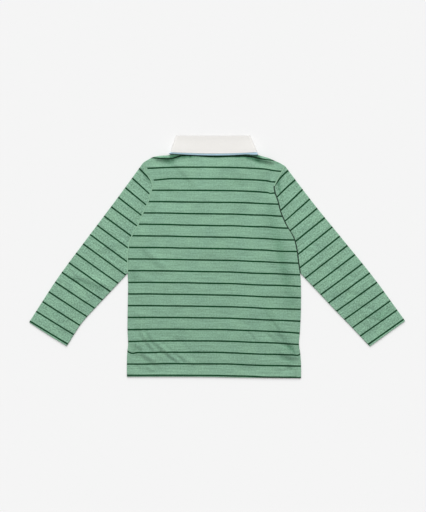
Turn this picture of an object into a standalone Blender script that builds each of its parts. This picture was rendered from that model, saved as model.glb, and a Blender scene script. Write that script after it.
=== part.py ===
"""A child's long-sleeved polo shirt, laid out flat and face down with its collar folded.

The garment frame has X across the shirt from its centre line, Y up from the hem and Z up from
the surface it lies on. The front panel lies lowest and the back panel on top of it. Heights hang
off the middle of the stack, the surface half way between those two panels. Sizes are in
millimetres until a mesh is made.
"""

import math

import bmesh
import bpy
import numpy as np

MM = 0.001

# Cloth
WALL = 1.2
GAP = 0.3
LAYER = WALL + GAP
HALF_LAYER = LAYER / 2
EDGE_ROLL = 0.35
ROLL_SHARE = 0.006
BODY_AIR = 0.8
SLEEVE_AIR = 0.7
AIR_STARTS = 10.0
AIR_FULL = 40.0

# Outline of the body: height above the hem, then how far each side lies from the centre line
HEIGHT, LEFT, RIGHT = 0, 1, 2
SIDE_SEAMS = (
    (24.0, 175.0, 172.8),
    (48.0, 174.4, 171.2),
    (67.0, 172.6, 168.8),
    (95.0, 173.8, 170.9),
    (136.0, 173.4, 172.6),
    (182.0, 172.6, 172.6),
)
UNDERARM = (207.5, 173.4, 171.3)
ARMHOLES = (
    (230.0, 173.4, 168.7),
    (255.0, 172.3, 165.2),
    (280.0, 165.8, 158.5),
    (305.0, 152.0, 145.7),
    (330.0, 141.6, 135.2),
    (352.0, 131.6, 128.2),
    (370.0, 127.0, 120.4),
    (381.0, 123.2, 119.2),
    (392.0, 126.2, 124.0),
    (404.0, 133.8, 130.6),
    (414.0, 139.3, 136.2),
)
# From the shoulder tip to the neck: distance out and height on the left, then on the right
OUT_LEFT, HEIGHT_LEFT, OUT_RIGHT, HEIGHT_RIGHT = 0, 1, 2, 3
SHOULDERS = (
    (141.2, 429.4, 140.0, 422.4),
    (131.0, 435.4, 130.0, 428.0),
    (121.6, 440.0, 120.2, 432.2),
    (107.0, 442.2, 109.0, 437.2),
    (91.0, 443.4, 88.0, 443.4),
    (79.0, 449.0, 75.5, 449.0),
)
# The hem drops a little to the right: distance from the centre line, then height
HEM = ((-175.0, 0.8), (-40.0, 0.6), (70.0, -1.0), (172.8, -2.0))

# Edges of each sleeve from shoulder to cuff: distance out and height, upper and then lower
UPPER_OUT, UPPER_HEIGHT, LOWER_OUT, LOWER_HEIGHT = 0, 1, 2, 3
SLEEVE_EDGES = {
    "left": (
        (141.2, 429.4, 173.4, 207.5),
        (197.0, 352.6, 205.0, 174.0),
        (254.0, 276.8, 236.0, 141.2),
        (312.0, 198.4, 267.0, 106.1),
        (369.8, 109.4, 295.2, 62.2),
    ),
    "right": (
        (140.0, 422.4, 171.3, 207.5),
        (198.0, 345.2, 206.0, 171.4),
        (258.0, 271.4, 241.0, 134.2),
        (319.0, 195.8, 275.0, 99.2),
        (380.2, 111.6, 310.6, 61.4),
    ),
}

# Collar on the left and right: distance out and height of the points at its side fold
FOLD_OUT, SEAM_OUT, EDGE_OUT, LIP_OUT = 0, 1, 2, 3
COLLAR_SIDES = {"left": (73.0, 79.0, 83.9, 88.8), "right": (67.7, 75.5, 81.2, 84.9)}
FOLD_HEIGHT = 481.2
SEAM_HEIGHT = 449.0
EDGE_HEIGHT = 449.4
LIP_HEIGHT = 444.4
BACK_NECK_RISE = 4.0
FRONT_NECK_DROP = 68.0
FRONT_FOLD_DROP = 74.0
COLLAR_OPENING = 4.0
LIP_SHOWS = 5.0
# Edge of a front leaf from the side fold to its point: share of the side's reach, and drop
LEAF_SHARE, LEAF_DROP = 0, 1
LEAF_EDGE = ((1.0, 0.0), (1.006, 25.6), (0.917, 51.6), (0.726, 75.6), (0.476, 93.4))
NECK_ANGLES = (0, 16, 30, 44, 57, 69, 80, 90)
TURN_ANGLES = (-60, -30, 0, 30, 60)
FOLD_ANGLES = (180, 144, 108, 72, 36, 0)
SIDE_FOLD_TILT = 14.0

# Layers of the stack, from its middle: the panels, then what is folded over them
PANEL_LEVEL = HALF_LAYER
UNDER_COLLAR_LEVEL = PANEL_LEVEL + LAYER
COLLAR_LEVEL = UNDER_COLLAR_LEVEL + LAYER

# The front panel lies on the floor but for two pads, where the collar leaves and the placket
# with its buttons lie beneath it
FLAT_MIDDLE = WALL + GAP / 2
PAD_LIFT = 2 * LAYER
COLLAR_PAD_HEIGHT = 445.0
COLLAR_PAD_OUT = 95.0
COLLAR_PAD_DROP = 100.0
PAD_FADE = 1.35
PLACKET_PAD_OUT = 16.0
PLACKET_PAD_FADE = 32.0
NECK_SAG = 2.4

# Placket and buttons, beneath the front panel
PLACKET_TOP = 380.6
PLACKET_BOTTOM = 262.0
PLACKET_WIDTH = 26.0
SLIT_WIDTH = 22.0
SLIT_BOTTOM = 268.0
BUTTON_HEIGHTS = (366.0, 325.0, 284.0)
BUTTON_DIAMETER = 10.0
BUTTON_THICKNESS = WALL
BUTTON_SIDES = 24

# Soft troughs pressed into the back panel, in millimetres: from, to, depth and half width
TROUGHS = (
    # from_x, from_y, to_x, to_y, depth, half_width
    (-122.0, 432.0, -91.0, 427.0, 0.9, 8.0),
    (88.0, 430.0, 124.0, 423.0, 0.9, 8.0),
    (-134.0, 92.0, -106.0, 54.0, 0.8, 9.0),
    (-98.0, 46.0, -78.0, 33.0, 0.6, 9.0),
    (138.0, 66.0, 160.0, 46.0, 0.8, 9.0),
    (104.0, 98.0, 116.0, 74.0, 0.5, 9.0),
)
# The same on the sleeves
SLEEVE_TROUGHS = (
    (-147.0, 418.0, -136.0, 396.0, 0.7, 8.0),
    (139.0, 412.0, 131.0, 380.0, 0.9, 8.0),
    (-230.0, 250.0, -214.0, 214.0, 0.5, 10.0),
    (248.0, 226.0, 238.0, 196.0, 0.5, 10.0),
    (318.0, 160.0, 296.0, 126.0, 0.5, 9.0),
    (-322.0, 142.0, -300.0, 116.0, 0.5, 9.0),
)

# Divisions of the grids
SIDE_ROWS = 10
ARM_ROWS = 14
SHOULDER_COLUMNS = 4
SLEEVE_ROWS = 17
COLLAR_STEPS = 3
ROLL_ANGLES = (-90, -45, 0, 45, 90)


def smooth(low, high, value):
    """0 below low, 1 above high and an even rise between them."""
    share = np.clip((value - low) / (high - low), 0.0, 1.0)
    return share * share * (3.0 - 2.0 * share)


def unit(vector):
    return vector / np.linalg.norm(vector)


def curve(points, shares):
    """The points at these shares of the length of a smooth curve through the given ones."""
    knots = np.asarray(points, float)
    ends = 2 * knots[[0, -1]] - knots[[1, -2]]
    knots = np.vstack([ends[:1], knots, ends[1:]])
    step = np.linspace(0, 1, 24, endpoint=False)[:, None]
    path = []
    for before, start, end, after in zip(knots, knots[1:], knots[2:], knots[3:]):
        bend = 2 * before - 5 * start + 4 * end - after
        twist = 3 * start - before - 3 * end + after
        path.append(0.5 * (2 * start + (end - before) * step + bend * step**2 + twist * step**3))
    path = np.vstack([*path, knots[-2:-1]])
    return resampled(path, shares)


def resampled(path, shares):
    """The points at these shares of the length of a chain of points."""
    lengths = np.linalg.norm(np.diff(path, axis=0), axis=1)
    reached = np.concatenate([[0.0], np.cumsum(lengths)])
    wanted = np.asarray(shares) * reached[-1]
    return np.stack([np.interp(wanted, reached, path[:, axis]) for axis in (0, 1)], axis=1)


def even_shares(count, rolled_start=True, rolled_end=True):
    """Even shares from 0 to 1, with a narrow one at each end that is rolled."""
    shares = [step / count for step in range(count + 1)]
    if rolled_start:
        shares.insert(1, ROLL_SHARE)
    if rolled_end:
        shares.insert(-1, 1 - ROLL_SHARE)
    return np.array(shares)


def patch(low, high, start, end, across, along):
    """Points of the sheet between four edges: low and high run across it, start and end along."""
    s = across[None, :, None]
    t = along[:, None, None]
    between_rows = (1 - t) * low[None] + t * high[None]
    between_columns = (1 - s) * start[:, None] + s * end[:, None]
    low_corners = (1 - s) * low[0] + s * low[-1]
    high_corners = (1 - s) * high[0] + s * high[-1]
    return between_rows + between_columns - (1 - t) * low_corners - t * high_corners


def pad_lift(x, y):
    """How far the front panel is held off the floor by what lies beneath it."""
    reach = np.hypot(x / COLLAR_PAD_OUT, (y - COLLAR_PAD_HEIGHT) / COLLAR_PAD_DROP)
    collar = 1 - smooth(1.0, PAD_FADE, reach)
    beside = 1 - smooth(PLACKET_PAD_OUT, PLACKET_PAD_OUT + PLACKET_PAD_FADE, np.abs(x))
    placket_foot = PLACKET_BOTTOM - 4.0
    placket = beside * smooth(placket_foot - PLACKET_PAD_FADE, placket_foot, y)
    return PAD_LIFT * (1 - (1 - collar) * (1 - placket))


def front_middle(x, y):
    """Height of the middle of the stack."""
    return FLAT_MIDDLE + pad_lift(x, y)


def back_middle(x, y):
    """The same for what lies above it, which sags into the open neck."""
    below_fold = np.minimum(y - FOLD_HEIGHT, 0.0)
    inside = 1 - (x / COLLAR_SIDES["left"][FOLD_OUT]) ** 2 - (below_fold / FRONT_FOLD_DROP) ** 2
    return front_middle(x, y) - NECK_SAG * smooth(0.0, 1.0, inside)


def trough_depth(x, y, troughs):
    """How far soft troughs press the cloth down at a point."""
    total = np.zeros(np.shape(x))
    for from_x, from_y, to_x, to_y, depth, half_width in troughs:
        run_x = to_x - from_x
        run_y = to_y - from_y
        along = ((x - from_x) * run_x + (y - from_y) * run_y) / (run_x**2 + run_y**2)
        along = np.clip(along, 0.0, 1.0)
        away = np.hypot(x - from_x - along * run_x, y - from_y - along * run_y)
        total = total + depth * np.exp(-((away / half_width) ** 2))
    return total


def side_points(side):
    """The side seam from hem to underarm, and the armhole from there to the shoulder tip."""
    column, sign = (LEFT, -1) if side == "left" else (RIGHT, 1)
    out, height = (OUT_LEFT, HEIGHT_LEFT) if side == "left" else (OUT_RIGHT, HEIGHT_RIGHT)
    corner = HEM[0] if side == "left" else HEM[-1]
    underarm = (sign * UNDERARM[column], UNDERARM[HEIGHT])
    tip = (sign * SHOULDERS[0][out], SHOULDERS[0][height])
    seam = [corner, *[(sign * row[column], row[HEIGHT]) for row in SIDE_SEAMS], underarm]
    armhole = [underarm, *[(sign * row[column], row[HEIGHT]) for row in ARMHOLES], tip]
    return seam, armhole


def side_edge(side):
    """The whole side of a panel, in the rows of its grid."""
    seam, armhole = side_points(side)
    lower = curve(seam, even_shares(SIDE_ROWS, rolled_end=False))
    return np.vstack([lower[:-1], curve(armhole, even_shares(ARM_ROWS))])


def neck_half(side):
    """The front neck seam and the front fold of the collar, from the side fold to the centre."""
    sign = -1 if side == "left" else 1
    half_opening = COLLAR_OPENING / 2
    sides = COLLAR_SIDES[side]
    angles = np.radians(NECK_ANGLES)
    lines = []
    for reach, top, drop in (
        (sides[SEAM_OUT], SEAM_HEIGHT, FRONT_NECK_DROP),
        (sides[FOLD_OUT], FOLD_HEIGHT, FRONT_FOLD_DROP),
    ):
        out = half_opening + (reach - half_opening) * np.cos(angles)
        lines.append(np.stack([sign * out, top - drop * np.sin(angles)], axis=1))
    return lines


def back_neck():
    """The back neck seam, over the same places across as the front's."""
    x = np.concatenate([neck_half("left")[0][:, 0], neck_half("right")[0][::-1, 0]])
    reach = np.where(x < 0, COLLAR_SIDES["left"][SEAM_OUT], COLLAR_SIDES["right"][SEAM_OUT])
    return np.stack([x, SEAM_HEIGHT + BACK_NECK_RISE * (1 - (x / reach) ** 2)], axis=1)


def top_edge(neck):
    """Shoulder, neck and shoulder, from left to right."""
    left = [(-row[OUT_LEFT], row[HEIGHT_LEFT]) for row in SHOULDERS]
    right = [(row[OUT_RIGHT], row[HEIGHT_RIGHT]) for row in SHOULDERS]
    shares = even_shares(SHOULDER_COLUMNS, rolled_end=False)
    return np.vstack([curve(left, shares)[:-1], neck, curve(right, shares)[::-1][1:]])


def panel_grid(neck):
    """Where the points of a body panel lie, rows from the hem up and columns from the left."""
    top = top_edge(neck)
    across = (top[:, 0] - top[0, 0]) / (top[-1, 0] - top[0, 0])
    start = side_edge("left")
    end = side_edge("right")
    lengths = np.linalg.norm(np.diff(start, axis=0), axis=1)
    along = np.concatenate([[0.0], np.cumsum(lengths)]) / lengths.sum()
    return patch(curve(HEM, across), top, start, end, across, along)


def seam_distance(grid):
    """How far each point of a grid lies from the nearest side of it."""
    rows = np.linalg.norm(np.diff(grid, axis=0), axis=2)
    columns = np.linalg.norm(np.diff(grid, axis=1), axis=2)
    up = np.vstack([np.zeros((1, grid.shape[1])), np.cumsum(rows, axis=0)])
    right = np.hstack([np.zeros((grid.shape[0], 1)), np.cumsum(columns, axis=1)])
    return np.minimum.reduce([up, up[-1:] - up, right, right[:, -1:] - right])


def lifted(grid, heights):
    return np.concatenate([grid, heights[:, :, None]], axis=2)


def rolled(top, bottom):
    """Both faces of a wall turned in a little along its four edges."""
    border = np.zeros(top.shape[:2])
    border[[0, -1]] = EDGE_ROLL
    border[:, [0, -1]] = EDGE_ROLL
    top[:, :, 2] -= border
    bottom[:, :, 2] += border
    return top, bottom


def material(name, colour, roughness):
    """A plain finish from a colour in sRGB shares."""
    made = bpy.data.materials.new(name)
    made.use_nodes = True
    shader = made.node_tree.nodes["Principled BSDF"]
    linear = [share**2.2 for share in colour]
    shader.inputs["Base Color"].default_value = (*linear, 1.0)
    shader.inputs["Roughness"].default_value = roughness
    shader.inputs["Metallic"].default_value = 0.0
    return made


def add_object(name, mesh, finish):
    made = bpy.data.objects.new(name, mesh)
    made.data.materials.append(finish)
    bpy.context.scene.collection.objects.link(made)
    return made


def shell(name, outer, inner, finish, wrap=False):
    """One closed wall between two matching grids. With wrap, the last column joins the first."""
    rows, columns = outer.shape[:2]
    points = np.concatenate([outer.reshape(-1, 3), inner.reshape(-1, 3)]) * MM
    under = rows * columns
    spans = columns if wrap else columns - 1
    faces = []
    for column in range(spans):
        beside = (column + 1) % columns
        for row in range(rows - 1):
            corners = [
                row * columns + column,
                row * columns + beside,
                (row + 1) * columns + beside,
                (row + 1) * columns + column,
            ]
            faces.append(corners)
            faces.append([under + corner for corner in reversed(corners)])
        for row in (0, (rows - 1) * columns):
            faces.append([row + column, row + beside, under + row + beside, under + row + column])
    if not wrap:
        for row in range(rows - 1):
            for edge in (0, columns - 1):
                low = row * columns + edge
                high = low + columns
                faces.append([low, high, under + high, under + low])
    mesh = bpy.data.meshes.new(name)
    mesh.from_pydata([tuple(point) for point in points], [], faces)
    shaped = bmesh.new()
    shaped.from_mesh(mesh)
    bmesh.ops.recalc_face_normals(shaped, faces=shaped.faces)
    shaped.to_mesh(mesh)
    shaped.free()
    mesh.shade_smooth()
    mesh.set_sharp_from_angle(angle=math.radians(50))
    return add_object(name, mesh, finish)


def build_back(finish):
    grid = panel_grid(back_neck())
    x, y = grid[:, :, 0], grid[:, :, 1]
    air = BODY_AIR * smooth(AIR_STARTS, AIR_FULL, seam_distance(grid))
    pressed = np.minimum(trough_depth(x, y, TROUGHS), air)
    bottom = back_middle(x, y) + GAP / 2 + air - pressed
    return shell("back", *rolled(lifted(grid, bottom + WALL), lifted(grid, bottom)), finish)


def build_front(finish):
    neck = np.vstack([neck_half("left")[0], neck_half("right")[0][::-1]])
    grid = panel_grid(neck)
    bottom = pad_lift(grid[:, :, 0], grid[:, :, 1])
    front = shell("front", *rolled(lifted(grid, bottom + WALL), lifted(grid, bottom)), finish)
    slit_height = FOLD_HEIGHT - SLIT_BOTTOM
    cutter_mesh = bpy.data.meshes.new("slit")
    box = bmesh.new()
    bmesh.ops.create_cube(box, size=1.0)
    bmesh.ops.scale(box, verts=box.verts, vec=(SLIT_WIDTH * MM, slit_height * MM, 20 * MM))
    middle = (0.0, (SLIT_BOTTOM + slit_height / 2) * MM, 0.0)
    bmesh.ops.translate(box, verts=box.verts, vec=middle)
    box.to_mesh(cutter_mesh)
    box.free()
    cutter = add_object("slit", cutter_mesh, finish)
    cutter.hide_render = True
    cutter.display_type = "WIRE"
    cut = front.modifiers.new("slit", "BOOLEAN")
    cut.operation = "DIFFERENCE"
    cut.object = cutter
    return front, cutter


def sleeve_rings(plan, radius, edge_radius, heights, base):
    """Closed loops of a flat tube: across the top, round the lower edge and back beneath."""
    rings = []
    for line, tops in zip(plan, heights):
        toward = unit(line[1] - line[0])
        back = unit(line[-2] - line[-1])
        ring = []
        for angle in np.radians(ROLL_ANGLES):
            spot = line[0] + toward * (edge_radius - radius * math.cos(angle))
            ring.append((*spot, edge_radius + radius * math.sin(angle)))
        ring += [(*spot, top) for spot, top in zip(line[1:-1], tops[1:-1])]
        for angle in np.radians(ROLL_ANGLES[::-1]):
            spot = line[-1] + back * (edge_radius - radius * math.cos(angle))
            ring.append((*spot, edge_radius + radius * math.sin(angle)))
        ring += [(*spot, base) for spot in line[-2:0:-1]]
        rings.append(ring)
    return np.array(rings)


def sleeve_plan(side):
    """Points of a sleeve seen from above: rows from armhole to cuff, columns from its top edge."""
    sign = -1 if side == "left" else 1
    edges = np.array(SLEEVE_EDGES[side])
    upper = edges[:, [UPPER_OUT, UPPER_HEIGHT]] * (sign, 1)
    lower = edges[:, [LOWER_OUT, LOWER_HEIGHT]] * (sign, 1)
    armhole = curve(side_points(side)[1], even_shares(ARM_ROWS, False, False))[::-1]
    armhole = armhole + np.array([sign * 2 * GAP, 0.0])
    upper[0] = armhole[0]
    lower[0] = armhole[-1]
    across = even_shares(ARM_ROWS, False, False)
    along = even_shares(SLEEVE_ROWS)
    cuff = upper[-1] + across[:, None] * (lower[-1] - upper[-1])
    return patch(armhole, cuff, curve(upper, along), curve(lower, along), across, along)


def build_sleeve(side, finish):
    plan = sleeve_plan(side)
    x, y = plan[:, :, 0], plan[:, :, 1]
    air = SLEEVE_AIR * smooth(0.0, AIR_FULL - AIR_STARTS, seam_distance(plan))
    pressed = np.minimum(trough_depth(x, y, SLEEVE_TROUGHS), air)
    tops = 2 * WALL + GAP + air - pressed
    half = FLAT_MIDDLE
    outer = sleeve_rings(plan, half, half, tops, 0.0)
    inner = sleeve_rings(plan, half - WALL, half, tops - WALL, WALL)
    for end in (0, -1):
        above = np.sign(outer[end, :, 2] - half)
        outer[end, :, 2] -= above * EDGE_ROLL
    return shell(f"sleeve_{side}", outer, inner, finish, wrap=True)


def collar_stations():
    """Lines of the flattened collar from centre front, round the back, to centre front.

    Each gives seam, fold, edge and lip in plan, the way out of the stack and its middle height.
    """
    stations = []
    halves = {}
    turns = {}
    for side, sign in (("left", -1), ("right", 1)):
        seam, fold = neck_half(side)
        shares = np.linspace(0, 1, len(NECK_ANGLES))
        sides = COLLAR_SIDES[side]
        leaf = [
            (sign * row[LEAF_SHARE] * sides[EDGE_OUT], EDGE_HEIGHT - row[LEAF_DROP])
            for row in LEAF_EDGE
        ]
        edge = curve(leaf, shares)
        away = edge - fold
        lip = edge + LIP_SHOWS * away / np.linalg.norm(away, axis=1, keepdims=True)
        lip[0] = (sign * sides[LIP_OUT], LIP_HEIGHT)
        down = np.array([0.0, 0.0, -1.0])
        halves[side] = [(*line, down, front_middle) for line in zip(seam, fold, edge, lip)]
        tilt = math.radians(SIDE_FOLD_TILT)
        sideways = np.array([sign * math.cos(tilt), math.sin(tilt), 0.0])
        turns[side] = []
        for angle in np.radians(TURN_ANGLES):
            out = sideways * math.cos(angle) - down * math.sin(angle)
            turns[side].append((seam[0], fold[0], edge[0], lip[0], out, front_middle))
    for seam in back_neck():
        side = "left" if seam[0] < 0 else "right"
        sides = COLLAR_SIDES[side]
        share = seam[0] / sides[SEAM_OUT]
        fold = np.array([share * sides[FOLD_OUT], FOLD_HEIGHT])
        edge = np.array([share * sides[EDGE_OUT], EDGE_HEIGHT])
        lip = np.array([share * sides[LIP_OUT], LIP_HEIGHT])
        stations.append((seam, fold, edge, lip, np.array([0.0, 0.0, 1.0]), back_middle))
    left = halves["left"][::-1] + turns["left"]
    right = turns["right"][::-1] + halves["right"]
    return left + stations + right


def on_middle(spot, middle):
    return np.array([spot[0], spot[1], float(middle(spot[0], spot[1]))])


def wall_faces(path, facing):
    """The two faces of a wall from its middle points and the way its outside faces."""
    half = np.full(len(path), WALL / 2)
    half[[0, -1]] -= EDGE_ROLL
    return path + facing * half[:, None], path - facing * half[:, None]


def build_collar(finish):
    """Stand and fall in one folded piece, as a knitted collar is."""
    outer, inner = [], []
    for seam, fold, edge, _, out, middle in collar_stations():
        foot = seam + GAP * unit(fold - seam)
        over = unit(unit(fold - edge) + unit(fold - seam))
        path, facing = [], []
        for step in range(COLLAR_STEPS):
            spot = foot + (fold - foot) * step / COLLAR_STEPS
            path.append(on_middle(spot, middle) + out * PANEL_LEVEL)
            facing.append(-out)
        crown = on_middle(fold, middle)
        beyond = np.array([*over, 0.0])
        for angle in np.radians(FOLD_ANGLES):
            turn = out * math.cos(angle) + beyond * math.sin(angle)
            path.append(crown + out * UNDER_COLLAR_LEVEL + turn * LAYER)
            facing.append(turn)
        for step in range(1, COLLAR_STEPS + 1):
            spot = fold + (edge - fold) * step / COLLAR_STEPS
            path.append(on_middle(spot, middle) + out * COLLAR_LEVEL)
            facing.append(out)
        faces = wall_faces(np.array(path), np.array(facing))
        outer.append(faces[0])
        inner.append(faces[1])
    return shell("collar", np.array(outer), np.array(inner), finish)


def build_under_collar(finish):
    """The layer inside the fall, whose edge shows below it."""
    outer, inner = [], []
    for _, fold, edge, lip, out, middle in collar_stations():
        spots = [fold + (edge - fold) * step / COLLAR_STEPS for step in range(COLLAR_STEPS + 1)]
        spots.append(lip)
        path = [on_middle(spot, middle) + out * UNDER_COLLAR_LEVEL for spot in spots]
        facing = np.tile(out, (len(path), 1))
        faces = wall_faces(np.array(path), facing)
        outer.append(faces[0])
        inner.append(faces[1])
    return shell("under_collar", np.array(outer), np.array(inner), finish)


def build_strip(name, width, bottom, level, finish):
    """A placket strip that lies flat, its middle this far below the middle of the stack."""
    across = (even_shares(2) - 0.5) * width
    along = bottom + even_shares(6) * (PLACKET_TOP - bottom)
    grid = np.stack(np.meshgrid(across, along), axis=2)
    low = front_middle(grid[:, :, 0], grid[:, :, 1]) - level - WALL / 2
    return shell(name, *rolled(lifted(grid, low + WALL), lifted(grid, low)), finish)


def build_button(number, height, finish):
    """A round button face down, its rim on the floor and its middle dished."""
    radius = BUTTON_DIAMETER / 2
    profile = (
        (0.0, BUTTON_THICKNESS),
        (radius - 0.4, BUTTON_THICKNESS),
        (radius, BUTTON_THICKNESS - 0.4),
        (radius, 0.4),
        (radius - 0.4, 0.0),
        (radius - 1.2, 0.0),
        (radius - 1.8, 0.4),
        (0.0, 0.4),
    )
    shaped = bmesh.new()
    corners = [shaped.verts.new((out * MM, 0.0, up * MM)) for out, up in profile]
    edges = [shaped.edges.new(pair) for pair in zip(corners, corners[1:])]
    bmesh.ops.spin(
        shaped,
        geom=corners + edges,
        cent=(0.0, 0.0, 0.0),
        axis=(0.0, 0.0, 1.0),
        angle=math.tau,
        steps=BUTTON_SIDES,
        use_merge=True,
    )
    bmesh.ops.remove_doubles(shaped, verts=shaped.verts, dist=0.001 * MM)
    bmesh.ops.recalc_face_normals(shaped, faces=shaped.faces)
    mesh = bpy.data.meshes.new(f"button_{number}")
    shaped.to_mesh(mesh)
    shaped.free()
    mesh.shade_smooth()
    mesh.set_sharp_from_angle(angle=math.radians(35))
    made = add_object(f"button_{number}", mesh, finish)
    made.location = (0.0, height * MM, 0.0)
    return made


def centre(objects):
    """Moves everything so that the origin is under the middle of the shirt."""
    bpy.context.view_layer.update()
    corners = []
    for piece in objects:
        points = [piece.matrix_world @ vertex.co for vertex in piece.data.vertices]
        corners += [point[:] for point in points]
    low = np.min(corners, axis=0)
    high = np.max(corners, axis=0)
    frame = bpy.data.objects.new("garment", None)
    bpy.context.scene.collection.objects.link(frame)
    frame.location = (-(low[0] + high[0]) / 2, -(low[1] + high[1]) / 2, -low[2])
    return frame


def main():
    for old in list(bpy.data.objects):
        bpy.data.objects.remove(old)
    green = material("green_knit", (0.53, 0.68, 0.58), 0.9)
    white = material("white_knit", (0.94, 0.93, 0.92), 0.85)
    blue = material("blue_knit", (0.70, 0.78, 0.83), 0.85)
    plastic = material("button_plastic", (0.90, 0.89, 0.86), 0.35)
    front, slit = build_front(green)
    pieces = [
        build_back(green),
        front,
        build_sleeve("left", green),
        build_sleeve("right", green),
        build_collar(white),
        build_under_collar(blue),
        build_strip("placket_outer", PLACKET_WIDTH, PLACKET_BOTTOM, UNDER_COLLAR_LEVEL, green),
        build_strip("placket_inner", SLIT_WIDTH - 2 * GAP, SLIT_BOTTOM + GAP, PANEL_LEVEL, green),
    ]
    for number, height in enumerate(BUTTON_HEIGHTS, start=1):
        pieces.append(build_button(number, height, plastic))
    frame = centre(pieces)
    for piece in [*pieces, slit]:
        piece.parent = frame


main()
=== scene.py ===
from math import cos, pi, radians, sin, tau

import bmesh
import bpy
import numpy as np
from numpy.linalg import norm
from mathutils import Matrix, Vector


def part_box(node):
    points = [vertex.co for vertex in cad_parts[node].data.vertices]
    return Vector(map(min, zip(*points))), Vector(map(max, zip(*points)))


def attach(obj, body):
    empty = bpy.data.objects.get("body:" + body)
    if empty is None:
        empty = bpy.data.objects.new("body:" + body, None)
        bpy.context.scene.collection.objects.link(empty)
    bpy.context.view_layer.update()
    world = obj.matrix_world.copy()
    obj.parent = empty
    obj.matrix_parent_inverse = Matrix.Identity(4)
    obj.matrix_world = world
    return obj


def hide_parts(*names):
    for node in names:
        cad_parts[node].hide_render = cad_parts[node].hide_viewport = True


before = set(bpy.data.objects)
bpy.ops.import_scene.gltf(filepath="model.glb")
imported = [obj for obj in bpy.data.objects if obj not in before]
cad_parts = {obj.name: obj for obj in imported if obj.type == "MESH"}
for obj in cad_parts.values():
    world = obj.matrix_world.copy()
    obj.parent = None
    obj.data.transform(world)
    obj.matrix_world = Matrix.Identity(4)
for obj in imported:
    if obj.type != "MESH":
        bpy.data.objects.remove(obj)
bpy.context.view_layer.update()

MM = 0.001
UP = np.array([0.0, 0.0, 1.0])
SIGN = {"left": -1, "right": 1}

# Cloth and its layers, in millimetres, as in the solids
WALL = 1.2
GAP = 0.3
LAYER = WALL + GAP
PANEL_LEVEL = LAYER / 2
UNDER_COLLAR_LEVEL = PANEL_LEVEL + LAYER
COLLAR_LEVEL = UNDER_COLLAR_LEVEL + LAYER
FLAT_MIDDLE = WALL + GAP / 2
EDGE_RADIUS = 1.1
EDGE_LEAST = 0.25
BODY_AIR = 2.4
SLEEVE_AIR = 1.4
AIR_RISES = 42.0
CREASE_RISES = 5.0

# Outline of the body: height above the hem, then how far each side lies from the centre line
HEIGHT, LEFT, RIGHT = 0, 1, 2
SIDE_SEAMS = (
    (24, 175, 172.8), (48, 174.4, 171.2), (67, 172.6, 168.8), (95, 173.8, 170.9), (136, 173.4, 172.6),
    (182, 172.6, 172.6),
)
UNDERARM = (207.5, 173.4, 171.3)
ARMHOLES = (
    (230, 173.4, 167.8), (255, 172.3, 164.6), (280, 165.8, 157.9), (305, 152, 143.2),
    (330, 141.6, 132.4), (352, 131.6, 126.6), (370, 127, 120.4), (381, 123.2, 119.2), (392, 126.2, 124),
    (404, 133.8, 130.6), (414, 139.3, 136.2),
)
# From the shoulder tip to the neck: distance out and height on the left, then on the right
SHOULDERS = (
    (141.2, 429.4, 140, 422.4), (131, 435.4, 130, 428), (121.6, 440, 120.2, 432.2),
    (107, 442.2, 109, 437.2), (91, 443.4, 88, 443.4), (79, 449, 75.5, 449),
)
HEM = ((-175.0, 0.8), (-40.0, 0.6), (70.0, -1.0), (172.8, -2.0))
HEM_LOWEST = -2.0

# Edges of each sleeve from shoulder to cuff: distance out and height, upper and then lower
SLEEVE_EDGES = {
    "left": (
        (141.2, 429.4, 173.4, 207.5), (197, 352.6, 205, 174), (254, 276.8, 236, 141.2),
        (312, 198.4, 267, 106.1), (369.8, 109.4, 295.2, 62.2),
    ),
    "right": (
        (140, 422.4, 171.3, 207.5), (198, 345.2, 206, 171.4), (258, 271.4, 241, 134.2),
        (319, 195.8, 275, 99.2), (380.2, 111.6, 310.6, 61.4),
    ),
}

# Collar on each side: how far out its fold, seam, edge and blue lip lie at the side fold
FOLD_OUT, SEAM_OUT, EDGE_OUT, LIP_OUT = 0, 1, 2, 3
COLLAR_SIDES = {"left": (73.0, 79.0, 83.9, 88.8), "right": (67.7, 75.5, 81.2, 84.9)}
FOLD_HEIGHT = 480.0
SEAM_HEIGHT = 449.0
EDGE_HEIGHT = 448.2
EDGE_SAG = 2.0
LIP_HEIGHT = 445.8
LIP_SAG = 3.4
END_DROOP = {"left": 0.0, "right": 2.6}
COLLAR_RISE = 2.2
END_RISE = 1.4
# Painted shade on the collar's fold crown and painted light along its free edge, then painted light on
# the top of the blue lip and painted shade on its lower part
FOLD_SHADE = 0.36
LIP_SHADE = 0.32
SEAM_REACH = 79.0
BACK_NECK_RISE = 4.0
FRONT_NECK_DROP = 68.0
FRONT_FOLD_DROP = 74.0
COLLAR_OPENING = 4.0
LIP_SHOWS = 5.0
# Edge of a front leaf from the side fold to its point: share of the side's reach, and drop
LEAF_EDGE = ((1.0, 0.0), (1.006, 25.6), (0.917, 51.6), (0.726, 75.6), (0.476, 93.4))
NECK_ANGLES = (0, 16, 30, 44, 57, 69, 80, 90)
SIDE_FOLD_TILT = 14.0
SIDE_FOLD_TURNS = 13

# Pads that lift the front panel off the floor, over the collar leaves and over the placket
PAD_LIFT = 2 * LAYER
COLLAR_PAD_HEIGHT = 445.0
COLLAR_PAD_OUT = 95.0
COLLAR_PAD_DROP = 100.0
PAD_FADE = 1.35
PLACKET_PAD_OUT = 16.0
PLACKET_PAD_FADE = 32.0
NECK_SAG = 2.4

# Placket and buttons
PLACKET_TOP = 380.6
PLACKET_BOTTOM = 262.0
PLACKET_WIDTH = 26.0
SLIT_WIDTH = 22.0
SLIT_BOTTOM = 268.0
CUT_DEPTH = 20.0
BUTTON_HEIGHTS = (366.0, 325.0, 284.0)
BUTTON_RADIUS = 5.0
BUTTON_THICKNESS = 1.2
BUTTON_ROUND = 0.5
HOLE_RADIUS = 0.6 * MM
HOLE_SPREAD = 1.15

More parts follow.
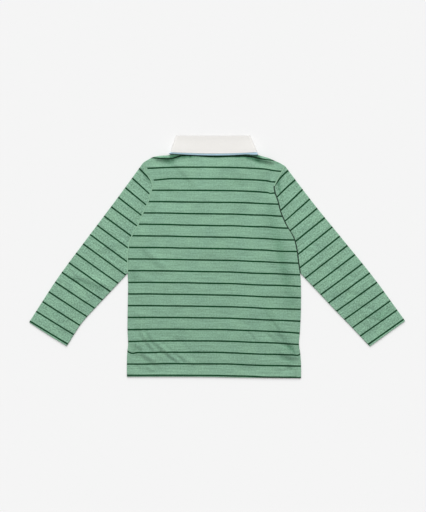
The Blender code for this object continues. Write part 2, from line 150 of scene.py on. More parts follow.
# Hems, seen as two rows of stitches this far from the edge
HEM_ROWS = (9.0, 16.0)
CUFF_ROWS = (10.0, 15.0)
CUFF_BOWS = {"left": 0.8, "right": -0.2}
# How far the fold along the top of each sleeve bellies out
UPPER_FULLNESS = {"left": 0.7, "right": 1.0}
HEM_DEPTH = 18.0
HEM_RISE = 0.3
STITCH_LENGTH = 2.4
STITCH_SPACE = 3.1
STITCH_RADIUS = 0.2
STITCH_BULGE = 0.22
STITCH_LIFT = 0.12
CUFF_STITCH_LIFT = 0.1
GROOVE_DEPTH = 0.22
GROOVE_WIDTH = 0.7
GROOVE_STEPS = (-0.9, 0.0, 0.9)
# The box of stitches at the top of each vent: reach of its sides and heights of its ends
VENT_BOX_REACH = (157.5, 171.0)
VENT_BOX_HEIGHTS = (52.6, 70.8)

# Thread in the armhole seams: radius and height of its middle
ARMHOLE_SEAMS = {"left": (1.05, 2.65), "right": (1.6, 2.2)}

# Stripes: spacing, width, and how far they lie below level across the body
STRIPE_SPACE = 23.07
STRIPE_WIDTH = 3.2
LOWEST_STRIPE = 3.8
DROOP_PLACES = (-172.0, -130.0, -91.0, -60.0, 0.0, 35.0, 71.0, 100.0, 130.0, 170.0)
DROOP_ROWS = (
    # height, then the drop at each place
    (442, 0.5, 3, 8, -0.8, 2.1, 1, 1.4, 9.4, 11, 10),
    (420, 3, 1.8, 0.7, 0.2, 0.2, 0.7, 2.3, 4.1, 8.1, 9.5),
    (397, 3, 3, 0.2, 0, 0.3, 0.6, 2, 3.5, 6.8, 8),
    (374, 0.4, -0.4, -0.1, 0, 0.4, 0.9, 2.1, 3.8, 6.5, 7.5),
    (350, -1, -0.8, -0.4, 0.3, 0.9, 1.1, 2.1, 3.5, 4.5, 6.5),
    (303, -2, -1.6, -1, -0.1, 1.2, 1.4, 3, 3.6, 5.5, 6.7),
    (258, -1.8, -1.3, -1, -0.1, 0.8, 1.4, 3, 3.8, 6.1, 6.9),
    (188, -0.9, -1.1, -0.6, -0.2, 1, 1.5, 3.4, 4.4, 5, 7.1),
    (142, -0.8, -0.7, -0.2, -0.1, 1.1, 1.7, 3, 4.9, 5.5, 6.7),
    (73, 1.8, 0.7, 0.2, 0.4, 0.5, 1.4, 2.9, 3.9, 5.2, 8.6),
    (50, 0.7, 0.6, -0.1, 0.1, 0.1, 1.3, 2.9, 3.9, 4.4, 6),
    (27, 0.8, 0.5, -0.4, -0.1, 0.2, 0.6, 2.6, 3.4, 3.7, 4.9),
    (4, 0, 0, -0.1, 0, 0.4, 1.2, 2, 3.6, 3.9, 4),
)
# Where the left armhole's seam is drawn in, stripes stop short of it: height, then how far
BARE_BODY = ((350.0, 0.0), (374.0, 1.2), (397.0, 4.6), (420.0, 6.0))
BARE_SLEEVE = ((255.0, 0.0), (300.0, 1.4), (343.0, 2.0), (366.0, 3.2), (383.0, 0.0))
# Small kinks in single stripes: place, half width, half height and drop
KINKS = (
    (-175, 51, 4.5, 9, -2.6), (-163, 49, 5.5, 9, 1.8), (169, 3, 5, 8, 1.2), (173, 46, 4.5, 8, -2.6),
    (165, 46, 5, 8, 0.9), (114, 396, 4, 8, 1.4), (112, 372, 4, 8, 1.6),
)
# Stripes on the sleeves: number from the shoulder, how far down the upper edge, skew and bend
SLEEVE_STRIPES = {
    "left": (
        (1, 15.5, 0.180, 0), (3, 63, 0.070, 0), (5, 110.4, 0.019, 0), (9, 203.2, 0.010, 0),
        (13, 297.5, -0.032, 0), (17, 390.6, -0.076, 0),
    ),
    "right": (
        (1, 12, 0, 0.005), (2, 35.3, 0.050, 0.0008), (3, 59.6, 0.110, 0), (5, 107.2, 0.033, 0),
        (9, 202.9, 0.000, 0), (13, 297, -0.037, 0), (17, 388.1, -0.042, 0),
    ),
}

# Creases, in millimetres: from, to, depth (a ridge where it is below nothing) and half width
TROUGHS = (
    # from_x, from_y, to_x, to_y, depth, half_width
    # Under the ends of the collar
    (-113, 437.5, -92, 439, -5, 5), (-116, 431, -93, 427, 3, 4.6), (-93, 427, -62, 436, 3.4, 4.6),
    (91, 438.5, 113, 431.5, -5, 5), (64, 436, 90, 427, 3.4, 4.6), (90, 427, 118, 422, 3, 4.6),
    # Fine creases beside the armholes
    (-111, 417, -111, 401, 1.2, 2), (109, 392, 109.5, 371, 2.2, 2), (114, 392, 114.5, 373, -1.8, 2.2),
    (-158.5, 70, -158.5, 56, 0.9, 1.4),
    # Above the left vent
    (-156, 93, -148, 76, 2.5, 4), (-145, 92, -137, 77, -3.4, 3.4), (-142, 93, -131, 75, 3.4, 3),
    (-131, 92, -121, 75, -1.9, 3.2), (-159, 67, -147, 56, -2.2, 4.2), (-140, 69, -126, 52, 2.8, 3.4),
    (-132, 69, -116, 53, -3.2, 3.4), (-127, 68, -110, 51, 3.8, 3.4), (-113, 68, -93, 51, -3, 4),
    (-103, 66, -90, 54, 1.9, 3.4), (-149, 57, -148, 53.5, 3, 4), (-152, 43, -132, 30, 2.6, 5.6),
    (-143, 47, -120, 33, -2, 3.8), (-122, 46, -108, 36, 1, 3.4), (-102, 46, -80, 31, 2, 3.8),
    (-92, 46, -72, 33, -1.7, 3.2), (-80, 45, -62, 30, 1.7, 3.2), (-70, 45, -42, 27, -1.7, 3.8),
    (-126, 24, -110, 13, 2.8, 3.4), (-136, 24, -124, 15, -1.7, 3.2), (-163, 22, -146, 14, 2, 3.4),
    (-162, 47, -152, 40, 1.7, 3.4), (-78, 78, -70, 70, 1.1, 3.4), (-64, 68, -52, 54, 0.8, 4),
    # Above the right vent
    (115, 110, 127, 94, 1.3, 3), (122, 111, 135, 95, -0.6, 3.6), (67, 90, 78, 75, 1.2, 2.6),
    (74, 91, 85, 76, -0.8, 3), (103, 87, 116, 74, 1.5, 3.4), (110, 88, 123, 75, -0.9, 3.2),
    (127, 84, 138, 72, 1.7, 4), (122, 70, 146, 60, 1.3, 3.2), (138, 66, 165, 51, 1.9, 2.8),
    (130, 60, 156, 51, -0.6, 2.8), (136, 49, 165, 40, -1.9, 4.4), (130, 41, 160, 31, 1.9, 4.6),
    (128, 31, 162, 24, -0.7, 3.4), (141, 14, 163, 19, 1.7, 3), (118, 20, 140, 16, -0.9, 3.4),
    (141, 152, 141, 122, 0.7, 2),
    # Soft folds over the rest
    (-88, 428, -42, 377, 1.1, 5), (-82, 434, -34, 384, -0.7, 7), (100, 330, 143, 150, -2.2, 11),
    (112, 136, 148, 66, -1.6, 8), (-146, 250, -114, 222, 0.8, 6), (-139, 256, -104, 226, -1.4, 8),
    (-161, 214, -161, 198, 1, 8), (-131, 205, -112, 196, 1, 4), (-118, 208, -102, 197, 1, 3.4),
    (-126, 380, -124, 352, 1.2, 6), (30, 412, 50, 382, 1, 12), (-100, 335, -50, 332, -1, 10),
    (-56, 112, -50, 96, 1, 5),
)
SLEEVE_TROUGHS = (
    # The head of each sleeve
    (-149, 423, -134, 399, -2.6, 3.6), (-152, 414, -138, 392, 2, 4), (142, 418, 131, 396, 2.8, 5),
    (130, 392, 125, 374, 2.4, 2.6), (125, 374, 130, 356, 2, 2.4), (134, 382, 136, 360, -0.8, 3),
    # Across and down the left arm
    (-276, 204, -212, 182, -1.5, 6), (-279, 189, -226, 170, 1.5, 7), (-235, 255, -184, 271, -1.2, 4.4),
    (-222, 245, -178, 257, 0.8, 4.4), (-312, 107, -276, 115, 1.1, 4.6), (-333, 134, -328, 120, 0.9, 4),
    (-310, 128, -298, 120, 0.9, 4), (-170, 330, -158, 312, 0.9, 4), (-192, 318, -168, 306, 0.7, 5),
    # Across and down the right arm
    (164, 328, 175, 331, 1.2, 3.5), (174, 286, 184, 294, 1.2, 3), (193, 265, 206, 259, 1.3, 3),
    (186, 253, 206, 250, 1.3, 3), (211, 221, 228, 223, 1.1, 3.5), (234, 218, 251, 211, 1.3, 3),
    (263, 204, 282, 198, 1.3, 3), (238, 154, 262, 168, 1.4, 4), (262, 168, 284, 164, 1.2, 3.4),
    (290, 141, 318, 134, 1.3, 3), (328, 126, 346, 134, 1.8, 5), (300, 118, 330, 112, 1.3, 4),
    (268, 120, 308, 98, 1.2, 3),
)
# Painted shade on the cloth, and painted light where the share is below nothing: shadows under the
# collar's ends and edge, shade along creases and folds, and lighter bands such as the one above the hem
PAINTED_SHADES = (
    # from_x, from_y, to_x, to_y, share, half_width
    (111, 330, 155, 146, 0.125, 15), (128, 270, 144, 190, 0.06, 10), (-160, 10, 160, 8, -0.15, 11),
    (107, 126, 148, 62, 0.09, 13), (130, 52, 152, 32, 0.07, 11), (24, 400, 50, 390, 0.08, 15),
    (-141, 249, -111, 223, 0.08, 7), (-161, 206, -160, 198, 0.12, 12), (-18, 426, -10, 398, -0.05, 12),
    (-110, 338, -52, 338, -0.05, 8), (-111, 374, -124, 330, 0.08, 7), (-98, 434, -84, 432, 0.22, 7),
    (84, 434, 100, 430, 0.22, 7), (-86, 440, -48, 441.5, 0.5, 3.4), (44, 441.5, 88, 439, 0.5, 3.4),
    (140, 64, 167, 50, 0.08, 7), (94, 404, 108, 342, 0.06, 5), (117, 404, 117, 362, -0.07, 5),
    (-91, 430, -41, 372, 0.07, 5), (-124, 250, -92, 228, -0.05, 9), (-115, 437, -96, 436, 0.18, 5),
    (111, 436, 126, 431, 0.24, 5), (-157, 42, -118, 14, 0.08, 5), (148, 22, 164, 14, 0.10, 5),
    (-105, 357, -60, 357, -0.09, 6), (-119, 420, -104, 410, -0.07, 6), (-48, 440.5, 50, 440.5, 0.32, 2.2),
    (66, 438, 88, 432.5, 0.28, 3), (-84, 436.5, -72, 438.5, 0.26, 3), (-158.2, 70, -158.2, 54, 0.18, 1.6),
    (-171, 68, -161, 54, 0.13, 1.8), (-149, 58, -147, 54, 0.12, 4), (147, 61.5, 161, 48.6, 0.15, 2.2),
    (151, 63, 157, 57, 0.10, 2), (134, 40, 156, 31, 0.09, 5), (148, 19, 161, 13, 0.12, 3.5),
    (162, 8, 162, 2, 0.16, 1.6), (4, 276, 24, 272, 0.06, 7), (-152, 290, -120, 275, 0.05, 9),
)
# Painted shade and painted light on the sleeves: shade in their creases and at their heads, lighter bands
# along them
SLEEVE_PAINTED_SHADES = (
    (-280, 197, -224, 176, 0.15, 6), (-262, 210, -206, 190, -0.06, 8), (176, 300, 186, 262, -0.05, 12),
    (330, 122, 348, 133, 0.14, 10), (240, 160, 284, 164, 0.05, 8), (270, 112, 330, 118, 0.05, 12),
    (-144, 416, -134, 398, 0.08, 6), (134, 410, 126, 392, 0.14, 6), (127, 390, 131, 370, 0.28, 3),
    (-132, 399, -127, 391, 0.30, 3.5), (228, 206, 302, 162, 0.05, 22), (-364, 117, -290, 70, -0.06, 9),
    (374, 118, 305, 69, -0.06, 9), (-336, 132, -312, 124, 0.07, 8),
)
# Where the cloth swells up beside the ends of the collar: place, reach and height
SWELLS = ((-90.0, 430.0, 20.0, 3.0), (91.0, 427.0, 20.0, 3.0))
SWELL_RISES = 8.0
# Slight unevenness of cloth that has been smoothed by hand: wavelength, heading, phase, height
RIPPLES = (
    (118, 24, 0.4, 0.15), (83, 71, 1.9, 0.12), (61, 132, 3.1, 0.14), (44, 98, 5.2, 0.10),
    (37, 12, 2.3, 0.08), (27, 58, 0.9, 0.04),
)

# Waves of cloth along a seam: length, share and phase, and their height and reach
PUCKER_WAVES = ((8.7, 1.0, 0.0), (5.3, 0.6, 1.0))
PUCKER_HEIGHT = 0.09
PUCKER_REACH = 5.0

# Divisions of the grids
CURVE_STEPS = 24
BACK_ROWS = (100, 110)
BACK_COLUMNS = (28, 70)
FRONT_ROWS = (50, 56)
FRONT_COLUMNS = (14, 35)
SLEEVE_ROWS = 150
SLEEVE_COLUMNS = 60
ROLL_SHARES = (0.0008, 0.0022, 0.0045)
SHELL_SHARP = 60
BUTTON_SHARP = 40

# Camera: the photograph is 426 by 512 pixels, 2 mm to a pixel, from straight above
PIXEL_SIZE = 2.0
CENTRE_LINE_PIXEL = 214.5
HEM_PIXEL = 377.0
PICTURE_WIDTH = 426
PICTURE_HEIGHT = 512
LENS = 70.0
SENSOR = 36.0
CLIP = (0.05, 20.0)
# Floor and light
FLOOR_REACH = 12.0
FLOOR_CORNERS = ((-1, -1), (1, -1), (1, 1), (-1, 1))
WORLD_LIGHT = 0.407
KEY_LIGHT = 2.81
KEY_SPREAD = 60.0
KEY_TILT = 42.0
KEY_TURN = 2.0

# Knit: the width of a stitch and its height, and how it catches the light
WALE = 0.95 * MM
RIB = 1.5 * MM
COURSE = 0.8 * MM
KNIT_SPECULAR = 0.25
KNIT_BUMP = 0.12 * MM
# Colours, in sRGB shares of 255
GREEN_COOL = (128, 168, 146)
GREEN_WARM = (131, 170, 142)
STRIPE_GREEN = (5, 62, 32)
# Painted shade turns the green towards this colour where it is darkest, by this many times its share
PAINTED_SHADE_GREEN = (96, 160, 122)
PAINTED_SHADE_SHARE = 1.8
WHITE = (227, 225, 221)
WHITE_SHADE = (231, 229, 226)
BLUE = (176, 207, 221)
BLUE_SHADE = (170, 201, 216)
GREEN_THREAD = (140, 176, 150)
# A lighter green as painted highlight on the seam thread, and a near-black green as painted shadow in the
# right seam
SEAM_HIGHLIGHT_GREEN = (144, 185, 156)
SEAM_SHADOW_GREEN = (14, 48, 30)
BUTTON_LIGHT = (236, 233, 226)
BUTTON_SHADE = (219, 217, 208)
# Paper of the floor, in linear shares
FLOOR_LIGHT = (0.854, 0.854, 0.854)
FLOOR_SHADE = (0.850, 0.850, 0.850)


def garment_origin():
    """Where the garment frame's origin lies in the row frame, in metres."""
    low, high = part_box("button_1")
    back_low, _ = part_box("back")
    return np.array([(low[0] + high[0]) / 2, back_low[1] - HEM_LOWEST * MM, 0.0])


ORIGIN = garment_origin()


def smooth(low, high, value):
    """0 below low, 1 above high and an even rise between them."""
    share = np.clip((value - low) / (high - low), 0.0, 1.0)
    return share * share * (3.0 - 2.0 * share)


def unit(vector):
    return vector / norm(vector)


def travelled(points):
    """How far along its first axis each point of a chain or a grid lies."""
    steps = norm(np.diff(points, axis=0), axis=-1)
    return np.concatenate([0 * steps[:1], np.cumsum(steps, axis=0)])


def curve(points, shares):
    """The points at these shares of the length of a smooth curve through the given ones."""
    knots = np.asarray(points, float)
    ends = 2 * knots[[0, -1]] - knots[[1, -2]]
    knots = np.vstack([ends[:1], knots, ends[1:]])
    step = np.linspace(0, 1, CURVE_STEPS, endpoint=False)[:, None]
    path = []
    for before, start, end, after in zip(knots, knots[1:], knots[2:], knots[3:]):
        bend = 2 * before - 5 * start + 4 * end - after
        twist = 3 * start - before - 3 * end + after
        path.append(0.5 * (2 * start + (end - before) * step + bend * step**2 + twist * step**3))
    path = np.vstack([*path, knots[-2:-1]])
    reached = travelled(path)
    wanted = np.asarray(shares) * reached[-1]
    return np.stack([np.interp(wanted, reached, part) for part in path.T], axis=1)


def shares_of(count, rolled_start=True, rolled_end=True, extra=()):
    """Even shares from 0 to 1, with close ones at each rolled end and any extra ones."""
    shares = {step / count for step in range(count + 1)} | set(extra)
    if rolled_start:
        shares |= set(ROLL_SHARES)
    if rolled_end:
        shares |= {1 - share for share in ROLL_SHARES}
    return np.array(sorted(shares))


def patch(low, high, start, end, across, along):
    """Points of a sheet between four edges: low and high lie across it, start and end along."""
    s = across[None, :, None]
    t = along[:, None, None]
    between_rows = (1 - t) * low[None] + t * high[None]
    between_columns = (1 - s) * start[:, None] + s * end[:, None]
    low_corners = (1 - s) * low[0] + s * low[-1]
    high_corners = (1 - s) * high[0] + s * high[-1]
    return between_rows + between_columns - (1 - t) * low_corners - t * high_corners


def pad_lift(x, y):
    """How far the front panel is held off the floor by what lies beneath it."""
    reach = np.hypot(x / COLLAR_PAD_OUT, (y - COLLAR_PAD_HEIGHT) / COLLAR_PAD_DROP)
    collar = 1 - smooth(1.0, PAD_FADE, reach)
    beside = 1 - smooth(PLACKET_PAD_OUT, PLACKET_PAD_OUT + PLACKET_PAD_FADE, np.abs(x))
    placket_foot = PLACKET_BOTTOM - 4.0
    placket = beside * smooth(placket_foot - PLACKET_PAD_FADE, placket_foot, y)
    return PAD_LIFT * (1 - (1 - collar) * (1 - placket))


def front_middle(x, y):
    """Height of the middle of the stack."""
    return FLAT_MIDDLE + pad_lift(x, y)


def back_middle(x, y):
    """The same for what lies above it, which sags into the open neck."""
    below_fold = np.minimum(y - FOLD_HEIGHT, 0.0)
    inside = 1 - (x / COLLAR_SIDES["left"][FOLD_OUT]) ** 2 - (below_fold / FRONT_FOLD_DROP) ** 2
    return front_middle(x, y) - NECK_SAG * smooth(0.0, 1.0, inside)


def trough_depth(x, y, troughs):
    """How far soft troughs press the cloth down at a point."""
    total = np.zeros(np.shape(x))
    for from_x, from_y, to_x, to_y, depth, half_width in troughs:
        run_x = to_x - from_x
        run_y = to_y - from_y
        along = ((x - from_x) * run_x + (y - from_y) * run_y) / (run_x**2 + run_y**2)
        along = np.clip(along, 0.0, 1.0)
        away = np.hypot(x - from_x - along * run_x, y - from_y - along * run_y)
        total = total + depth * np.exp(-((away / half_width) ** 2))
    return total


def ripple_height(x, y):
    total = np.zeros(np.shape(x))
    for wavelength, heading, phase, height in RIPPLES:
        turn = radians(heading)
        run = x * cos(turn) + y * sin(turn)
        total = total + height * np.sin(tau * run / wavelength + phase)
    return total


def hem_relief(away, rows):
    """The raised cloth of a hem and the grooves of its stitches, by distance from the edge."""
    relief = HEM_RISE * (1 - smooth(HEM_DEPTH - 0.8, HEM_DEPTH + 1.2, away))
    for row in rows:
        relief = relief - GROOVE_DEPTH * np.exp(-(((away - row) / GROOVE_WIDTH) ** 2))
    return relief


def side_points(side):
    """The side seam from hem to underarm, and the armhole from there to the shoulder tip."""
    sign = SIGN[side]
    left = side == "left"
    column = LEFT if left else RIGHT
    corner = HEM[0] if left else HEM[-1]
    tip_out, tip_height = SHOULDERS[0][:2] if left else SHOULDERS[0][2:]
    underarm = (sign * UNDERARM[column], UNDERARM[HEIGHT])
    seam, armhole = (
        [(sign * row[column], row[HEIGHT]) for row in rows] for rows in (SIDE_SEAMS, ARMHOLES)
    )
    return [corner, *seam, underarm], [underarm, *armhole, (sign * tip_out, tip_height)]


def side_edge(side, rows):
    """The whole side of a panel, in the rows of its grid."""
    seam, armhole = side_points(side)
    grooves = [(row + step) / UNDERARM[HEIGHT] for row in HEM_ROWS for step in GROOVE_STEPS]
    lower = curve(seam, shares_of(rows[0], rolled_end=False, extra=grooves))
    return np.vstack([lower[:-1], curve(armhole, shares_of(rows[1]))])


def neck_half(side, steps):
    """The front neck seam and the front fold of the collar, from the side fold to the centre."""
    half_opening = COLLAR_OPENING / 2
    sides = COLLAR_SIDES[side]
    given = np.linspace(0, 1, len(NECK_ANGLES))
    angles = np.radians(np.interp(np.linspace(0, 1, steps + 1), given, NECK_ANGLES))
    lines = []
    for reach, top, drop in (
        (sides[SEAM_OUT], SEAM_HEIGHT, FRONT_NECK_DROP),
        (sides[FOLD_OUT], FOLD_HEIGHT, FRONT_FOLD_DROP),
    ):
        out = half_opening + (reach - half_opening) * np.cos(angles)
        lines.append(np.stack([SIGN[side] * out, top - drop * np.sin(angles)], axis=1))
    return lines


def front_neck(steps):
    return np.vstack([neck_half("left", steps)[0], neck_half("right", steps)[0][::-1]])


def back_neck(steps):
    """The back neck seam, over the same places across as the front's."""
    x = front_neck(steps)[:, 0]
    reach = np.where(x < 0, COLLAR_SIDES["left"][SEAM_OUT], COLLAR_SIDES["right"][SEAM_OUT])
    return np.stack([x, SEAM_HEIGHT + BACK_NECK_RISE * (1 - (x / reach) ** 2)], axis=1)


def panel_grid(neck, rows, shoulder_columns):
    """Where the points of a body panel lie, rows from the hem up and columns from the left."""
    left = [(-row[0], row[1]) for row in SHOULDERS]
    right = [row[2:] for row in SHOULDERS]
    shares = shares_of(shoulder_columns, rolled_end=False)
    top = np.vstack([curve(left, shares)[:-1], neck, curve(right, shares)[::-1][1:]])
    across = (top[:, 0] - top[0, 0]) / (top[-1, 0] - top[0, 0])
    start = side_edge("left", rows)
    end = side_edge("right", rows)
    along = travelled(start)
    return patch(curve(HEM, across), top, start, end, across, along / along[-1])


def reaches(grid):
    """How far each point of a grid lies from its first row and last, and first column and last."""
    up = travelled(grid)
    right = travelled(grid.swapaxes(0, 1)).T
    return up, up[-1:] - up, right, right[:, -1:] - right


def edge_drop(away):
    """How far the outer face has rounded off at this distance from a cloth edge."""
    inward = np.clip(EDGE_RADIUS - away, 0.0, EDGE_RADIUS)
    drop = EDGE_RADIUS - np.sqrt(EDGE_RADIUS**2 - inward**2)
    return np.minimum(drop, WALL - EDGE_LEAST)


def lifted(grid, heights):
    return np.concatenate([grid, heights[:, :, None]], axis=2)


def droop(x, y):
    """How far the stripes lie below level at a point of the body."""
    rows = DROOP_ROWS[::-1]
    place = np.interp(y, [row[0] for row in rows], np.arange(len(rows)))
    drop = np.zeros(np.shape(x))
    for number, (_, *drops) in enumerate(rows):
        line = curve(np.stack([DROOP_PLACES, drops], axis=1), np.linspace(0, 1, 400))
        share = 1 - smooth(0.0, 1.0, np.abs(place - number))
        drop = drop + share * np.interp(x, *line.T)
    for kink_x, kink_y, half_width, half_height, kink in KINKS:
        away = ((x - kink_x) / half_width) ** 2 + ((y - kink_y) / half_height) ** 2
        drop = drop + kink * np.exp(-away)
    return drop


def body_cloth(x, y, bare=0.0):
    """Cloth coordinates of the body, in millimetres: across it and up it from the lowest stripe.

    The third is how far the stripes are hidden, from 0 to 1, and the fourth the painted shade, which is
    painted light where it is below nothing.
    """
    up = y + droop(x, y) - LOWEST_STRIPE
    return x, up, bare * np.ones(np.shape(x)), trough_depth(x, y, PAINTED_SHADES)


def sleeve_cloth(side, x, y):
    """Cloth coordinates of a sleeve: across it and up it, counted as the body's are."""
    edges = SLEEVE_EDGES[side]
    tip, cuff = (np.array([SIGN[side] * edge[0], edge[1]]) for edge in (edges[0], edges[-1]))
    run = unit(cuff - tip)
    in_x = x - tip[0]
    in_y = y - tip[1]
    down = in_x * run[0] + in_y * run[1]
    across = -SIGN[side] * (in_y * run[0] - in_x * run[1])
    numbers, places, skews, bends = np.array(SLEEVE_STRIPES[side]).T
    met = down
    for _ in range(4):
        bend = np.interp(met, places, bends) * across**2
        met = down - np.interp(met, places, skews) * across - bend
    space = (places[1] - places[0]) / (numbers[1] - numbers[0])
    beyond = np.minimum(met - places[0], 0.0) + np.maximum(met - places[-1], 0.0)
    number = np.interp(met, places, numbers) + beyond / space
    return across, (numbers[-1] - number) * STRIPE_SPACE


def new_mesh(name, points, faces):
    """A mesh in the row frame from points in the garment frame."""
    mesh = bpy.data.meshes.new(name)
    placed = np.asarray(points) * MM + ORIGIN
    mesh.from_pydata([tuple(point) for point in placed], [], faces)
    return mesh


def mesh_of(name, shaped):
    mesh = bpy.data.meshes.new(name)
    shaped.to_mesh(mesh)
    shaped.free()
    return mesh


def linked(name, data):
    made = bpy.data.objects.new(name, data)
    bpy.context.scene.collection.objects.link(made)
    return made


def add_piece(name, mesh, finish, slot, *replaced):
    """Says what a piece rides on, what it is made of and what it stands for."""
    mesh.materials.append(finish)
    made = linked(name, mesh)
    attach(made, "root")
    if replaced:
        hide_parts(*replaced)
    return made


def carve(piece, tool):
    """Cuts a working mesh out of a piece."""
    cutter = linked("cutter", mesh_of("cutter", tool))
    cut = piece.modifiers.new("cut", "BOOLEAN")
    cut.operation = "DIFFERENCE"
    cut.object = cutter
    bpy.context.view_layer.update()
    graph = bpy.context.evaluated_depsgraph_get()
    mesh = bpy.data.meshes.new_from_object(piece.evaluated_get(graph))
    mesh.name = piece.name
    piece.modifiers.clear()
    piece.data = mesh
    bpy.data.objects.remove(cutter)


def numbered(start, rows, columns, wrap):
    """The numbers of a grid's points, with the first column again at the end of one that wraps."""
    spots = start + np.arange(rows * columns).reshape(rows, columns)
    return np.hstack([spots, spots[:, :1]]) if wrap else spots


def grid_faces(spots):
    corners = [spots[:-1, :-1], spots[:-1, 1:], spots[1:, 1:], spots[1:, :-1]]
    return np.stack(corners, axis=2).reshape(-1, 4).tolist()


def shell_faces(rows, columns, wrap):
    """Faces of a closed wall: an outer grid, an inner one and the rims between them."""
    under = rows * columns
    spots = numbered(0, rows, columns, wrap)
    rims = [spots[0, ::-1], spots[-1]]
    if not wrap:
        rims += [spots[:, 0], spots[::-1, -1]]
    faces = grid_faces(spots) + grid_faces(under + spots[::-1])
    for rim in rims:
        faces += grid_faces(np.stack([rim, under + rim]))
    return faces


def shell(node, outer, inner, cloth, finish, slot="green_knit", wrap=False):
    """A closed wall in place of a node, with cloth coordinates and shade on its points."""
    rows, columns = outer.shape[:2]
    points = np.concatenate([outer.reshape(-1, 3), inner.reshape(-1, 3)])
    mesh = new_mesh(f"{node}_shell", points, shell_faces(rows, columns, wrap))
    shaped = bmesh.new()
    shaped.from_mesh(mesh)
    bmesh.ops.recalc_face_normals(shaped, faces=shaped.faces)
    shaped.to_mesh(mesh)
    shaped.free()
    # The fourth value is painted shade, or painted light where it is below nothing, kept as an attribute
    # of its own
    across, up, bare, painted_shading = (np.asarray(value, float).reshape(-1) for value in cloth)
    flat = np.stack([across * MM, up * MM, bare], axis=1)
    for name, kind, field, values in (
        ("cloth", "FLOAT_VECTOR", "vector", flat),
        ("painted_shade", "FLOAT", "value", painted_shading),
    ):
        layer = mesh.attributes.new(name, kind, "POINT")
        layer.data.foreach_set(field, np.tile(values.reshape(-1), 2).astype(np.float32))
    mesh.shade_smooth()
    mesh.set_sharp_from_angle(angle=radians(SHELL_SHARP))
    return add_piece(f"{node}_shell", mesh, finish, slot, node)


class Nodes:
    """A short way to build a material's node tree."""

    def __init__(self, name):
        self.material = bpy.data.materials.new(name)
        self.material.use_nodes = True
        self.tree = self.material.node_tree

    def put(self, inputs, sockets):
        """Gives each socket its number, its colour or its link."""
        for place, value in inputs.items():
            if isinstance(value, tuple):
                sockets[place].default_value = (*value, 1.0)
            elif isinstance(value, (int, float)):
                sockets[place].default_value = value
            else:
                self.tree.links.new(value, sockets[place])

    def add(self, kind, inputs, out=0, **settings):
        node = self.tree.nodes.new(f"ShaderNode{kind}")
        for name, setting in settings.items():
            setattr(node, name, setting)
        self.put(inputs, node.inputs)
        return node.outputs[out]

    def math(self, operation, *values):
        return self.add("Math", dict(enumerate(values)), operation=operation)

    def plus(self, total, *values):
        for value in values:
            total = self.math("ADD", total, value)
        return total

    def less(self, value, by):
        return self.math("SUBTRACT", value, by)

    def times(self, value, by):
        return self.math("MULTIPLY", value, by)

    def swing(self, noise, weight):
        """A noise as a rise and fall about nothing."""
        return self.times(self.less(noise, 0.5), weight)

    def from_whole(self, value):
        """How far a number lies from the middle between two whole ones."""
        return self.math("ABSOLUTE", self.less(self.math("FRACT", value), 0.5))

    def joined(self, x, y):
        return self.add("CombineXYZ", {0: x, 1: y})

    def cloth(self):
        """Cloth coordinates: across, up, and how far the stripes are hidden."""
        vector = self.add("Attribute", {}, "Vector", attribute_name="cloth")
        split = self.tree.nodes.new("ShaderNodeSeparateXYZ")
        self.tree.links.new(vector, split.inputs[0])
        return split.outputs

    # Painted shade at each point, painted light where it is below nothing
    def painted_shade(self):
        return self.add("Attribute", {}, "Fac", attribute_name="painted_shade")

    def noise(self, vector, scale, detail=2.0):
        return self.add("TexNoise", {"Vector": vector, "Scale": scale, "Detail": detail})

    def object_noise(self, scale, detail=2.0):
        return self.noise(self.add("TexCoord", {}, "Object"), scale, detail)

    def ranged(self, *values):
        inputs = dict(enumerate(values))
        return self.add("MapRange", inputs, interpolation_type="SMOOTHSTEP")

    def mix(self, share, first, second):
        return self.add("Mix", {0: share, 6: first, 7: second}, 2, data_type="RGBA")

    def shaded(self, colour, factor):
        """A colour times a number."""
        return self.add("VectorMath", {0: colour, "Scale": factor}, operation="SCALE")

    def finished(self, looks, height=None, distance=0.0, strength=1.0):
        """The material, with these looks and with a bump of this height."""
        shader = self.tree.nodes["Principled BSDF"]
        self.put(looks, shader.inputs)
        if height is not None:
            bump = {"Height": height, "Distance": distance, "Strength": strength}
            self.tree.links.new(self.add("Bump", bump), shader.inputs["Normal"])
        return self.material


def linear(red, green, blue):
    """A colour in sRGB shares of 255 as the shader takes it."""
    shares = (red / 255, green / 255, blue / 255)
    return tuple(s / 12.92 if s <= 0.04045 else ((s + 0.055) / 1.055) ** 2.4 for s in shares)


def jersey_height(nodes, across, up, wale):
    """Height of a plain knit: columns of V stitches, each V a little higher at its legs."""
    leg = nodes.from_whole(nodes.times(across, 1 / wale))
    slanted = nodes.plus(nodes.times(up, 1 / COURSE), nodes.times(leg, 1.3))
    wave = nodes.math("SINE", nodes.times(slanted, tau))
    rib = nodes.math("SINE", nodes.times(leg, tau))
    return nodes.plus(nodes.times(wave, 0.5), rib)


